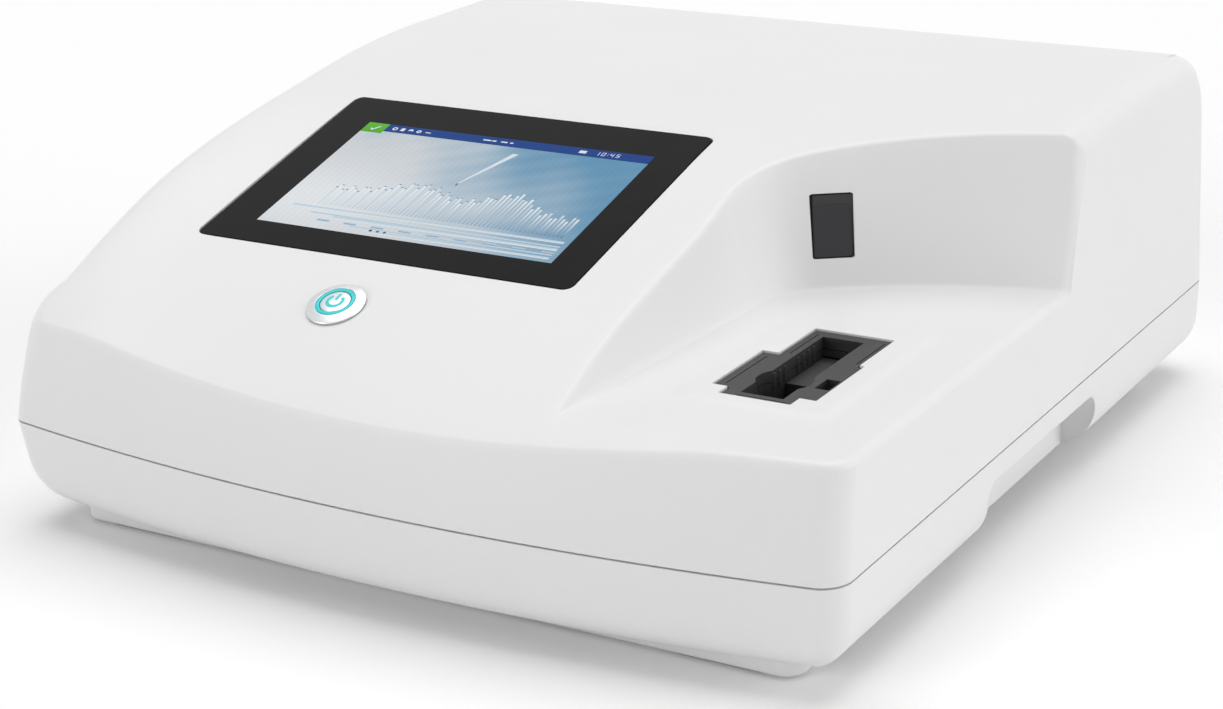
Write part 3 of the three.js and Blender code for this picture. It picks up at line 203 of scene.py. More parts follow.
def finish_mesh(piece: Piece, sharp_angle: float = 32.0, outward: bool = True) -> Piece:
    """Applies a piece's modifiers, merges doubles and shades it smooth up to an angle.

    Args:
        piece: The piece, with any modifiers still live.
        sharp_angle: Edges turned by more than this, in degrees, stay sharp.
        outward: Whether normals are recalculated to point outwards.

    Returns:
        The same piece.
    """
    applied(piece)
    with edited(piece.data, PIECE_GAP) as edit:
        bmesh.ops.dissolve_degenerate(edit, edges=edit.edges, dist=SLIVER * MM)
        if outward:
            bmesh.ops.recalc_face_normals(edit, faces=edit.faces)
    piece.data.shade_smooth()
    piece.data.set_sharp_from_angle(angle=math.radians(sharp_angle))
    return piece


def helper(points: Array, faces: Iterable[Sequence[int]]) -> Piece:
    """Makes a closed helper mesh for a cut, with its normals outwards."""
    mesh = mesh_of("helper", points, faces)
    with edited(mesh, HELPER_GAP) as edit:
        bmesh.ops.recalc_face_normals(edit, faces=edit.faces)
    return linked("helper", mesh)


def cut_with(piece: Piece, cutter: Piece) -> None:
    """Cuts a closed helper mesh out of a piece, then removes the helper."""
    change = piece.modifiers.new("trim", "BOOLEAN")
    change.object, change.operation, change.solver = cutter, "DIFFERENCE", "EXACT"
    applied(piece)
    shape = cutter.data
    bpy.data.objects.remove(cutter)
    bpy.data.meshes.remove(shape)


class Gathered:
    """Points and faces of several surfaces, numbered on to make one mesh."""

    def __init__(self) -> None:
        """Starts with nothing."""
        self.parts: list[Array] = []
        self.faces: list[Sequence[int]] = []
        self.count = 0

    def take(self, points: Array, faces: Iterable[Sequence[int]]) -> None:
        """Adds a surface whose faces number its own points."""
        self.parts.append(points)
        self.faces += [[self.count + int(i) for i in face] for face in faces]
        self.count += len(points)

    @property
    def points(self) -> Array:
        """All points, one row for each."""
        return np.concatenate(self.parts)


def grid_faces(rows: int, columns: int, closed: bool = True) -> Array:
    """Quads of a grid whose vertices are numbered row by row.

    Args:
        rows: Number of vertex rows.
        columns: Vertices in each row.
        closed: Whether each row joins up with its own start.

    Returns:
        One row of four vertex numbers for each quad.
    """
    row, column = np.meshgrid(np.arange(rows - 1), np.arange(columns if closed else columns - 1),
                              indexing="ij")
    following = (column + 1) % columns
    return np.stack([row * columns + column, row * columns + following,
                     (row + 1) * columns + following, (row + 1) * columns + column], -1).reshape(-1, 4)


def loft(rings: Sequence[Array], capped: bool = True) -> tuple[Array, list[Sequence[int]]]:
    """Skins rings of equal length into one surface, a profile carried along a path.

    Args:
        rings: Rings of X, Y and Z rows.
        capped: Whether a face closes the first ring and another the last.

    Returns:
        The points and the faces.
    """
    count = len(rings[0])
    faces: list[Sequence[int]] = grid_faces(len(rings), count).tolist()
    if capped:
        faces.append(list(range(count))[::-1])
        faces.append(list(range((len(rings) - 1) * count, len(rings) * count)))
    return np.concatenate(rings), faces


def smooth(value: Array | float, low: float, high: float) -> Array:
    """Rises from 0 at low to 1 at high along the cubic 3t^2 - 2t^3."""
    t = np.clip((np.asarray(value, float) - low) / (high - low), 0.0, 1.0)
    return t * t * (3.0 - 2.0 * t)


def parts(count: int) -> list[Array]:
    """Splits the numbers below a count into runs, so that the arrays made from each stay small."""
    return np.array_split(np.arange(count), max(1, count // RUN))


def inside(points: Array, loop: Array) -> Array:
    """Tells which points lie inside a closed loop, by counting the edges that a ray crosses.

    Args:
        points: Rows of X and Y.
        loop: Rows of X and Y round the loop.

    Returns:
        One truth value for each point.
    """
    x0, y0 = loop[:, 0], loop[:, 1]
    x1, y1 = np.roll(x0, -1), np.roll(y0, -1)
    crossed = np.zeros(len(points), bool)
    for part in parts(len(points)):
        px, py = points[part, 0][:, None], points[part, 1][:, None]
        spans = (y0 > py) != (y1 > py)
        at = x0 + (py - y0) * (x1 - x0) / np.where(y1 == y0, TINY, y1 - y0)
        crossed[part] = np.count_nonzero(spans & (px < at), axis=1) % 2 == 1
    return crossed


def rounded(corners: Sequence[tuple[float, float]], radius: float, steps: int = 6) -> Array:
    """Rounds every corner of a polygon with an arc that touches both sides.

    Args:
        corners: X and Y of each corner.
        radius: The arcs' radius.
        steps: Pieces in each arc.

    Returns:
        The outline's points.
    """
    at = np.array(corners, float)
    back = np.roll(at, 1, 0) - at
    on = np.roll(at, -1, 0) - at
    back /= np.linalg.norm(back, axis=1, keepdims=True)
    on /= np.linalg.norm(on, axis=1, keepdims=True)
    half = np.arccos(np.clip((back * on).sum(1), -1, 1)) / 2
    middle = back + on
    centre = at + middle / np.linalg.norm(middle, axis=1, keepdims=True) * (radius / np.sin(half))[:, None]
    start = at + back * (radius / np.tan(half))[:, None] - centre
    end = at + on * (radius / np.tan(half))[:, None] - centre
    turn = np.arctan2(start[:, 0] * end[:, 1] - start[:, 1] * end[:, 0], (start * end).sum(1))
    angle = turn[:, None] * np.linspace(0, 1, steps + 1)
    x = start[:, :1] * np.cos(angle) - start[:, 1:] * np.sin(angle)
    y = start[:, :1] * np.sin(angle) + start[:, 1:] * np.cos(angle)
    return (np.stack([x, y], -1) + centre[:, None]).reshape(-1, 2)


def rectangle(x0: float, x1: float, y0: float, y1: float, radius: float, steps: int = 6) -> Array:
    """The outline of a rectangle with rounded corners."""
    return rounded([(x0, y0), (x1, y0), (x1, y1), (x0, y1)], radius, steps)


def densified(loop: Array, spacing: float) -> Array:
    """Adds points along a closed loop so that no side is longer than the spacing."""
    parts = []
    for start, end in zip(loop, np.roll(loop, -1, 0)):
        count = max(1, math.ceil(float(np.linalg.norm(end - start)) / spacing))
        parts.append(start + (end - start) * (np.arange(count) / count)[:, None])
    return np.concatenate(parts)


def triangulated(outer: Array, holes: Sequence[Array], lines: Sequence[Array],
                 loose: Array) -> tuple[Array, Array]:
    """Fills a flat outline with triangles that keep to given loops and lines.

    Args:
        outer: The outline.
        holes: Outlines that stay open.
        lines: Open lines that triangle sides follow.
        loose: Further points.

    Returns:
        The points and the triangles.
    """
    points: list[Array] = []
    edges: list[tuple[int, int]] = []
    count = 0
    for run, closed in [(outer, True), *[(h, True) for h in holes], *[(line, False) for line in lines]]:
        number = len(run)
        edges += [(count + i, count + (i + 1) % number) for i in range(number if closed else number - 1)]
        points.append(run)
        count += number
    points.append(loose)
    flat = [Vector(p) for p in np.concatenate(points)[:, :2].tolist()]
    found = delaunay_2d_cdt(flat, edges, [], 0, FLAT_GAP)
    places = np.array([tuple(v) for v in found[0]])
    triangles = np.array([f for f in found[2] if len(f) == 3])
    middles = places[triangles].mean(1)
    keep = inside(middles, outer)
    for hole in holes:
        keep &= ~inside(middles, hole)
    return places, triangles[keep]


def plate(name: str, outline: Array, holes: Sequence[Array], low: float, high: float, chamfer: float,
          material: Material, slot: Slot, stands_for: Sequence[str] = (),
          place: Matrix | None = None) -> Piece:
    """A flat plate with holes, whose upper edges are broken by a small chamfer.

    The top is the outline drawn in by the chamfer, filled with triangles; each loop then drops by the
    chamfer and goes straight down to the underside.

    Args:
        name: The piece's name.
        outline: The plate's outline.
        holes: Outlines of its holes.
        low: Level of the underside.
        high: Level of the top.
        chamfer: Size of the broken edge.
        material: The finish.
        slot: The record's slot.
        stands_for: CAD nodes that it replaces.
        place: Where the plate's own frame lies, in millimetres.

    Returns:
        The new piece.
    """
    def drawn_in(loop: Array, amount: float) -> Array:
        """Moves a loop inwards, each point at right angles to the line between its neighbours."""
        along = np.roll(loop, -1, 0) - np.roll(loop, 1, 0)
        along /= np.linalg.norm(along, axis=1, keepdims=True) + TINY
        area = float((loop[:, 0] * np.roll(loop[:, 1], -1) - np.roll(loop[:, 0], -1) * loop[:, 1]).sum())
        return loop + np.stack([-along[:, 1], along[:, 0]], -1) * math.copysign(amount, area)

    loops = [outline, *holes]
    tops = [drawn_in(outline, chamfer), *[drawn_in(hole, -chamfer) for hole in holes]]
    solid = Gathered()
    for level, kept, way in ((high, tops, 1), (low, loops, -1)):
        flat, triangles = triangulated(kept[0], kept[1:], [], np.empty((0, 2)))
        solid.take(at_level(flat, level), triangles[:, ::way])
    for loop, top in zip(loops, tops):
        solid.take(*loft([at_level(loop, low), at_level(loop, high - chamfer), at_level(top, high)], False))
    points = solid.points if place is None else moved(solid.points, place)
    return finish_mesh(put_mesh(name, points, solid.faces, material, slot, Body.CASE, stands_for))


def turned(profile: Sequence[tuple[float, float]], sides: int = 96) -> tuple[Array, Array]:
    """Turns a profile of radius and height pairs about Z: x = r cos a, y = r sin a, z = h.

    Args:
        profile: Pairs of radius and height.
        sides: Facets round the axis.

    Returns:
        The points and the quads; a radius of 0 is a pole that a merge closes.
    """
    angle = np.linspace(0, 2 * np.pi, sides, endpoint=False)
    line = np.array(profile, float)
    rings = np.stack([line[:, :1] * np.cos(angle), line[:, :1] * np.sin(angle),
                      np.repeat(line[:, 1:], sides, 1)], -1)
    return rings.reshape(-1, 3), grid_faces(len(line), sides)


# The case's form

@dataclass(frozen=True)
class CaseForm:
    """Sizes of the moulded case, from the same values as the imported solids."""

    width: float = 282.0
    depth: float = 312.0
    height: float = 116.7
    parting: float = 34.2
    underside: float = 7.2
    seam: float = 0.5
    wall: float = 3.2
    base_wall: float = 3.0
    front_radius: float = 800.0
    front_lean: float = 5.0
    left_corner: float = 6.0
    left_corner_growth: float = 12.0
    right_corner: float = 9.0
    rear_corner: float = 12.0
    rear_round: float = 25.0
    side_round: float = 8.0
    left_round: float = 14.0
    edge_round: float = 2.6
    base_round: float = 14.0
    base_front_share: float = 0.8
    side_draft: float = math.radians(1.0)
    rear_draft: float = math.radians(3.3)
    slope: float = math.radians(15.04)
    crest_radius: float = 379.0
    flat_top_y: float = -20.35
    flat_run: float = 71.7
    brow_radius: float = 200.0
    swell_height: float = 4.4
    swell_y: float = -58.0
    swell_reach: float = 75.0
    swell_start: float = 98.0
    swell_end: float = 134.0
    brow_low: float = 59.6
    brow_rise: float = 6.2e-4
    bay_floor: float = 67.0
    bay_x: float = 54.6
    bay_y: float = -134.0
    bay_run: float = 100.0
    bay_heading: float = math.radians(87.4)
    turn_radius: float = 30.0
    turn_heading: float = math.radians(37.0)
    sweep_radius: float = 155.0
    end_heading: float = math.radians(10.0)
    lean: float = math.radians(10.5)
    lean_growth: float = math.radians(4.0)
    foot_fillet: float = 2.2
    top_fillet: float = 1.8
    edge_fillet: float = 3.4
    plateau_rise: float = 0.8
    plateau: tuple[float, float, float, float] = (77.6, 121.0, -112.0, -35.0)
    # half widths of the soft steps at the plateau's left, at its right and front, and at its rear
    plateau_soft: tuple[float, float, float] = (4.0, 1.2, 5.0)
    # the least radius of a corner, and the height over which the left one grows to its full radius
    least_corner: float = 1.5
    growth_height: float = 30.0
    # the front's lean goes with this power of the height, and below the parting line it has a plain draft
    front_power: float = 1.6
    front_draft: float = math.radians(2.0)
    # height of the bay's course over its floor, and the two Y between which the wall's lean grows
    course_rise: float = 3.0
    lean_reach: tuple[float, float] = (-60.0, -22.0)
    # room that the wall's two fillets leave between them, and the softness where the deck meets the floor
    fillet_room: float = 1.08
    floor_soft: float = 0.6
    # where the wall runs out at the right side: how far inside it the round ends, and the Y it starts at
    edge_margin: float = 1.2
    edge_from: float = -30.0
    # the deck's front edge: the half width and the depth under the bay's floor at which its Y is read, and
    # the softness of its height
    edge_half: float = 150.0
    edge_below: float = 4.0
    edge_soft: float = 1.5
    # the left shoulder dips at the front, and there the bend turns from a cube to an even one
    left_dip: float = 0.9
    dip_reach: tuple[float, float] = (100.0, 135.0)
    even_reach: tuple[float, float] = (90.0, 132.0)
    bend_limit: float = 1.15

    @property
    def flat_top_z(self) -> float:
        """Height of the display slope's upper end."""
        return self.height - self.crest_radius * (1 - math.cos(self.slope))

    @property
    def flat_low_y(self) -> float:
        """Y of the display slope's lower end."""
        return self.flat_top_y - self.flat_run

    @property
    def flat_low_z(self) -> float:
        """Height of the display slope's lower end."""
        return self.flat_top_z - self.flat_run * math.tan(self.slope)

    @property
    def brow_centre(self) -> tuple[float, float]:
        """Y and Z of the brow arc's centre."""
        return (self.flat_low_y + self.brow_radius * math.sin(self.slope),
                self.flat_low_z - self.brow_radius * math.cos(self.slope))

    @property
    def foot_offset(self) -> float:
        """Offset from the bay's course at which the wall's plane meets the floor."""
        return -self.course_rise * math.tan(self.lean)

    def deck(self, y: Array | float) -> Array:
        """Deck height along Y: a brow arc, a straight slope and a crest arc that ends level."""
        y = np.asarray(y, float)
        crest_back = self.flat_top_y + self.crest_radius * math.sin(self.slope)
        centre_y, centre_z = self.brow_centre
        crest = (self.height - self.crest_radius) + np.sqrt(
            self.crest_radius ** 2 - np.minimum(y - crest_back, 0) ** 2)
        flat = self.flat_top_z + (y - self.flat_top_y) * math.tan(self.slope)
        brow = centre_z + np.sqrt(np.maximum(self.brow_radius ** 2 - (y - centre_y) ** 2, 1.0))
        return np.where(y > self.flat_top_y, crest, np.where(y > self.flat_low_y, flat, brow))

    def lean_at(self, y: Array | float) -> Array:
        """The bay wall's lean from the vertical, larger along its sweep than along its straight."""
        return self.lean + self.lean_growth * smooth(y, *self.lean_reach)

    def front_y(self, x: Array, level: Array | float) -> Array:
        """Y of the front wall: an arc that leans back, more and more, away from the parting line."""
        centre = self.front_radius - self.depth / 2
        return centre - np.sqrt(self.front_radius ** 2 - np.asarray(x, float) ** 2) + self.front_back(level)

    def side_low(self, hand: int, inset: float) -> float:
        """Y at which a side starts behind the front corner, at the parting line; hand is 1 for the right."""
        radius = max((self.right_corner if hand > 0 else self.left_corner) - inset, self.least_corner)
        return self.front_radius - self.depth / 2 - math.sqrt(
            (self.front_radius - inset - radius) ** 2 - (self.width / 2 - inset - radius) ** 2)

    def front_back(self, level: Array | float) -> Array:
        """How far the front leans back at a level: lean * share of the rise ^ power, or its draft."""
        rise = np.asarray(level, float) - self.parting
        share = np.maximum(rise, 0) / (self.bay_floor - self.parting)
        return np.where(rise > 0, self.front_lean * share ** self.front_power,
                        np.abs(rise) * math.tan(self.front_draft))

    def top(self, x: Array, y: Array) -> Array:
        """Deck with its left swell, bent so that its front edge is lowest in the middle.

        The edge's height is the softened smaller of low + rise * x^2 and the bay floor; the bend grows with
        the cube of the distance from the display slope's lower end, and evenly with it at the left shoulder.
        """
        x = np.asarray(x, float)
        deck = self.deck(y)
        edge = self.front_y(np.clip(x, -self.edge_half, self.edge_half), self.bay_floor - self.edge_below)
        free = self.brow_low + self.brow_rise * x ** 2 - self.bay_floor
        level = self.bay_floor + (free - np.sqrt(free ** 2 + self.edge_soft)) / 2
        along = np.minimum(np.maximum(self.flat_low_y - y, 0) / (self.flat_low_y - edge), self.bend_limit)
        power = 3 - 2 * smooth(-x, *self.even_reach)
        bend = (level - self.left_dip * smooth(-x, *self.dip_reach) - self.deck(edge)) * along ** power
        near = np.minimum(np.abs(y - self.swell_y) / self.swell_reach, 1)
        swell = self.swell_height * np.cos(np.pi / 2 * near) ** 2
        return deck + bend + swell * smooth(-x, self.swell_start, self.swell_end)

    def rear_arc(self) -> tuple[float, float]:
        """Y and Z of the rear round's centre, a distance of its radius from the drafted wall and the top."""
        z = self.height - self.rear_round
        wall = self.depth / 2 - (z - self.parting) * math.tan(self.rear_draft)
        return wall - self.rear_round / math.cos(self.rear_draft), z

    def rear_y(self, z: Array) -> Array:
        """Y of the rear wall at each level, rounded over towards the top."""
        centre_y, centre_z = self.rear_arc()
        wall = self.depth / 2 - np.abs(z - self.parting) * math.tan(self.rear_draft)
        over = centre_y + np.sqrt(np.maximum(self.rear_round ** 2 - (z - centre_z) ** 2, 0))
        return np.where(z > centre_z + self.rear_round * math.sin(self.rear_draft), over, wall)

    def rear_top(self, y: Array) -> Array:
        """Height of the rear round over each Y."""
        centre_y, centre_z = self.rear_arc()
        reach = np.clip(y - centre_y, 0, self.rear_round)
        return centre_z + np.sqrt(self.rear_round ** 2 - reach ** 2)


class BayCourse:
    """The line of the bay wall's foot: straight, a tight turn, a long sweep and a straight end."""

    # lengths before the straight's start and after the sweep's end, to reach past the case
    LEAD, TAIL = 34.0, 50.0
    # the offset given to places outside X > NEAR_X and Y < NEAR_Y, where the line has no part
    FAR, NEAR_X, NEAR_Y = 60.0, 30.0, 50.0

    def __init__(self, form: CaseForm, step: float = 0.25) -> None:
        """Samples the line.

        Args:
            form: The case's sizes.
            step: Distance between samples.
        """
        heading = form.bay_heading
        ahead = np.array([math.cos(heading), math.sin(heading)])
        start = np.array([form.bay_x, form.bay_y]) - ahead * self.LEAD
        straight = np.arange(0, form.bay_run + self.LEAD, step)
        points = [start + ahead * straight[:, None]]
        headings = [np.full(len(straight), heading)]
        at = np.array([form.bay_x, form.bay_y]) + ahead * form.bay_run
        for radius, end in ((form.turn_radius, form.turn_heading), (form.sweep_radius, form.end_heading)):
            centre = at - radius * np.array([-math.sin(heading), math.cos(heading)])
            angles = np.linspace(heading, end, max(3, math.ceil(radius * (heading - end) / step)))
            arc = centre + radius * np.stack([-np.sin(angles), np.cos(angles)], -1)
            points.append(arc[:-1])
            headings.append(angles[:-1])
            at, heading, self.sweep_centre = arc[-1], end, centre
        last = np.arange(0, self.TAIL, step)
        points.append(at + np.array([math.cos(heading), math.sin(heading)]) * last[:, None])
        headings.append(np.full(len(last), heading))
        self.points = np.concatenate(points)
        self.headings = np.concatenate(headings)
        self.left = np.stack([-np.sin(self.headings), np.cos(self.headings)], -1)
        self.run = np.concatenate([[0], np.cumsum(np.linalg.norm(np.diff(self.points, axis=0), axis=1))])

    def offset(self, x: Array, y: Array) -> Array:
        """Signed distance from the line, positive on the deck's side, as the reach along the left normal."""
        x, y = np.broadcast_arrays(np.asarray(x, float), np.asarray(y, float))
        flat = np.stack([x.ravel(), y.ravel()], -1)
        out = np.full(len(flat), self.FAR)
        near = np.flatnonzero((flat[:, 0] > self.NEAR_X) & (flat[:, 1] < self.NEAR_Y))
        for part in (near[numbers] for numbers in parts(len(near))):
            best = ((flat[part][:, None] - self.points[None]) ** 2).sum(-1).argmin(1)
            out[part] = ((flat[part] - self.points[best]) * self.left[best]).sum(-1)
        return out.reshape(x.shape)


class Skin:
    """The case's outer surface as height over the plan, and its plan rings.

    A ring's samples run from the front's left end anticlockwise. Each has its part of the outline and its
    share of that part, from 0 to 1; along the rear the share is X in millimetres.
    """

    FRONT, RIGHT_FRONT, RIGHT, RIGHT_REAR, REAR, LEFT_REAR, LEFT, LEFT_FRONT = range(8)
    SAMPLES = {FRONT: 170, RIGHT_FRONT: 18, RIGHT_REAR: 20, LEFT_REAR: 20, LEFT: 90, LEFT_FRONT: 22}
    # spans of Y with their spacing along the right side, finest where the bay wall runs out
    RIGHT_SPANS = ((-136, 3, 3.0), (3, 16, 0.8), (16, 36, 0.3), (36, 42, 0.8), (42, 140, 3.0))
    RIGHT_END = 142.0
    # X along the rear, with the ends of the rear opening and 43 samples between them
    REAR_RIGHT, REAR_LEFT = (128.0, 116.0, 105.0, 95.0, 88.0), (-106.0, -112.0, -120.0)
    REAR_OPENING = (81, -101, 45)
    # further out than this, the rear's samples spread over what the drafted walls leave
    REAR_STEADY, REAR_SPREAD = 105.0, 24.0
    # how fast a side's samples stop following the corner
    CORNER_POWER = 8

    def __init__(self, form: CaseForm) -> None:
        """Lays out the samples round the plan.

        Args:
            form: The case's sizes.
        """
        self.form = form
        self.course = BayCourse(form)
        runs = {part: np.arange(count) / count for part, count in self.SAMPLES.items()}
        right = np.concatenate([np.arange(*span) for span in self.RIGHT_SPANS])
        runs[self.RIGHT] = (right - right[0]) / (self.RIGHT_END - right[0])
        runs[self.REAR] = np.concatenate([self.REAR_RIGHT, np.linspace(*self.REAR_OPENING), self.REAR_LEFT])
        self.part = np.concatenate([np.full(len(runs[part]), part) for part in sorted(runs)])
        self.share = np.concatenate([runs[part] for part in sorted(runs)])
        self.count = len(self.part)

    def ring(self, level: Array | float, inset: float = 0.0,
             front_inset: float | None = None) -> tuple[Array, Array]:
        """The plan outline, each sample at its own level: a bowed front, straight sides and rear.

        The front is an arc of the front radius. Each corner is an arc that touches both neighbours, so its
        centre lies its own radius inside them. Walls draw in by the level's distance from the parting line
        times the tangent of their draft. Along a side each sample keeps its Y at all levels, but for those
        near the two corners.

        Args:
            level: Height of each sample.
            inset: How far the sides and the rear are drawn in.
            front_inset: How far the front is drawn in, the same as the others when left out.

        Returns:
            X and Y of each sample, and the inward normals.
        """
        form, share, quarter = self.form, self.share, np.pi / 2
        z = np.broadcast_to(np.asarray(level, float), self.count)
        rise = np.abs(z - form.parting)
        side = form.width / 2 - inset - rise * math.tan(form.side_draft)
        rear = form.rear_y(z) - inset
        reach = form.front_radius - (inset if front_inset is None else front_inset)
        centre_y = form.front_radius - form.depth / 2 + form.front_back(z)
        grown = form.left_corner + form.left_corner_growth * np.clip(rise / form.growth_height, 0, 1)
        left, right, back = (np.maximum(radius - inset, form.least_corner)
                             for radius in (grown, form.right_corner, form.rear_corner))
        low_left, low_right = (centre_y - np.sqrt((reach - r) ** 2 - (side - r) ** 2) for r in (left, right))
        turn_left, turn_right = (np.arcsin((side - r) / (reach - r)) for r in (left, right))
        # the angle is the outward normal's, measured from -Y towards +X
        angle = -turn_left + share * (turn_left + turn_right)
        x, y = reach * np.sin(angle), centre_y - reach * np.cos(angle)
        for part, mid_x, mid_y, radius, start, end in (
                (self.RIGHT_FRONT, side - right, low_right, right, turn_right, quarter),
                (self.RIGHT_REAR, side - back, rear - back, back, quarter, 2 * quarter),
                (self.LEFT_REAR, -side + back, rear - back, back, 2 * quarter, 3 * quarter),
                (self.LEFT_FRONT, -side + left, low_left, left, 3 * quarter, 4 * quarter - turn_left)):
            here = self.part == part
            angle = np.where(here, start + share * (end - start), angle)
            x = np.where(here, mid_x + radius * np.sin(angle), x)
            y = np.where(here, mid_y - radius * np.cos(angle), y)
        last = form.rear_y(np.array(form.parting)) - inset - back
        for part, hand, along, low in ((self.RIGHT, 1, share, low_right),
                                       (self.LEFT, -1, 1 - share, low_left)):
            here = self.part == part
            first = form.side_low(hand, inset)
            kept = first + along * (last - first) + (1 - along) ** self.CORNER_POWER * (low - first) \
                + along ** self.CORNER_POWER * (rear - back - last)
            x, y = np.where(here, hand * side, x), np.where(here, kept, y)
            angle = np.where(here, np.pi - hand * quarter, angle)
        steady, out = self.REAR_STEADY, np.abs(share)
        spread = np.sign(share) * (steady + (out - steady) * (side - back - steady) / self.REAR_SPREAD)
        here = self.part == self.REAR
        x, y = np.where(here, np.where(out > steady, spread, share), x), np.where(here, rear, y)
        angle = np.where(here, np.pi, angle)
        return np.stack([x, y], -1), np.stack([-np.sin(angle), np.cos(angle)], -1)

    def floor(self, x: Array, y: Array) -> Array:
        """Bay floor, with a slightly raised field round the cell holder: a product of soft steps."""
        form = self.form
        x0, x1, y0, y1 = form.plateau
        left, sharp, rear = form.plateau_soft
        rise = smooth(x, x0 - left, x0 + left) * smooth(-x, -x1 - sharp, -x1 + sharp) \
            * smooth(y, y0 - sharp, y0 + sharp) * smooth(-y, -y1 - rear, -y1 + rear)
        return form.bay_floor + form.plateau_rise * rise

    def wall_line(self, height: Array, lean: Array) -> tuple[Array, Array, Array, Array]:
        """Where the bay wall's fillets touch, for a wall of some height.

        A fillet of radius r between the floor and a wall that leans by a from the vertical starts
        r * tan((90 - a) / 2) before the corner. Low walls get smaller fillets in proportion.

        Args:
            height: Height of the deck over the bay floor.
            lean: The wall's lean from the vertical.

        Returns:
            Offsets of the foot fillet's centre and the top fillet's centre, and the two radii.
        """
        form = self.form
        bend = np.tan((math.pi / 2 - lean) / 2)
        scale = np.clip(height / (bend * (form.foot_fillet + form.top_fillet) * form.fillet_room), 1e-3, 1)
        foot, top = form.foot_fillet * scale, form.top_fillet * scale
        start = form.foot_offset
        return start - foot * bend, start + height * np.tan(lean) + top * bend, foot, top

    def height(self, x: Array, y: Array) -> Array:
        """Height of the upper housing over each place: deck, bay wall with fillets, bay floor, rear round.

        The floor is the softened smaller of the bay's floor and the deck. Near the right side the wall draws
        back by e^2 / 2r, with e the reach into the edge's round of radius r.
        """
        form = self.form
        x, y = np.broadcast_arrays(np.asarray(x, float), np.asarray(y, float))
        deck = form.top(x, y)
        over = deck - self.floor(x, y)
        floor = deck - (over + np.sqrt(over ** 2 + form.floor_soft)) / 2
        edge = np.clip(form.edge_fillet - (form.width / 2 - form.edge_margin - x), 0, form.edge_fillet)
        drawn = edge ** 2 / (2 * form.edge_fillet)
        offset = self.course.offset(x, y) - drawn * (y > form.edge_from)
        tall = np.maximum(deck - floor, 0)
        lean = form.lean_at(y)
        foot_at, top_at, foot, top = self.wall_line(tall, lean)
        wall = floor + (offset - form.foot_offset) / np.tan(lean)
        rising = floor + foot - np.sqrt(np.maximum(foot ** 2 - (offset - foot_at) ** 2, 0))
        falling = deck - top + np.sqrt(np.maximum(top ** 2 - (top_at - offset) ** 2, 0))
        cosine = np.cos(lean)
        z = np.select([offset <= foot_at, offset < foot_at + foot * cosine, offset < top_at - top * cosine,
                       offset < top_at], [floor, rising, wall, falling], deck)
        return np.minimum(z, form.rear_top(y))


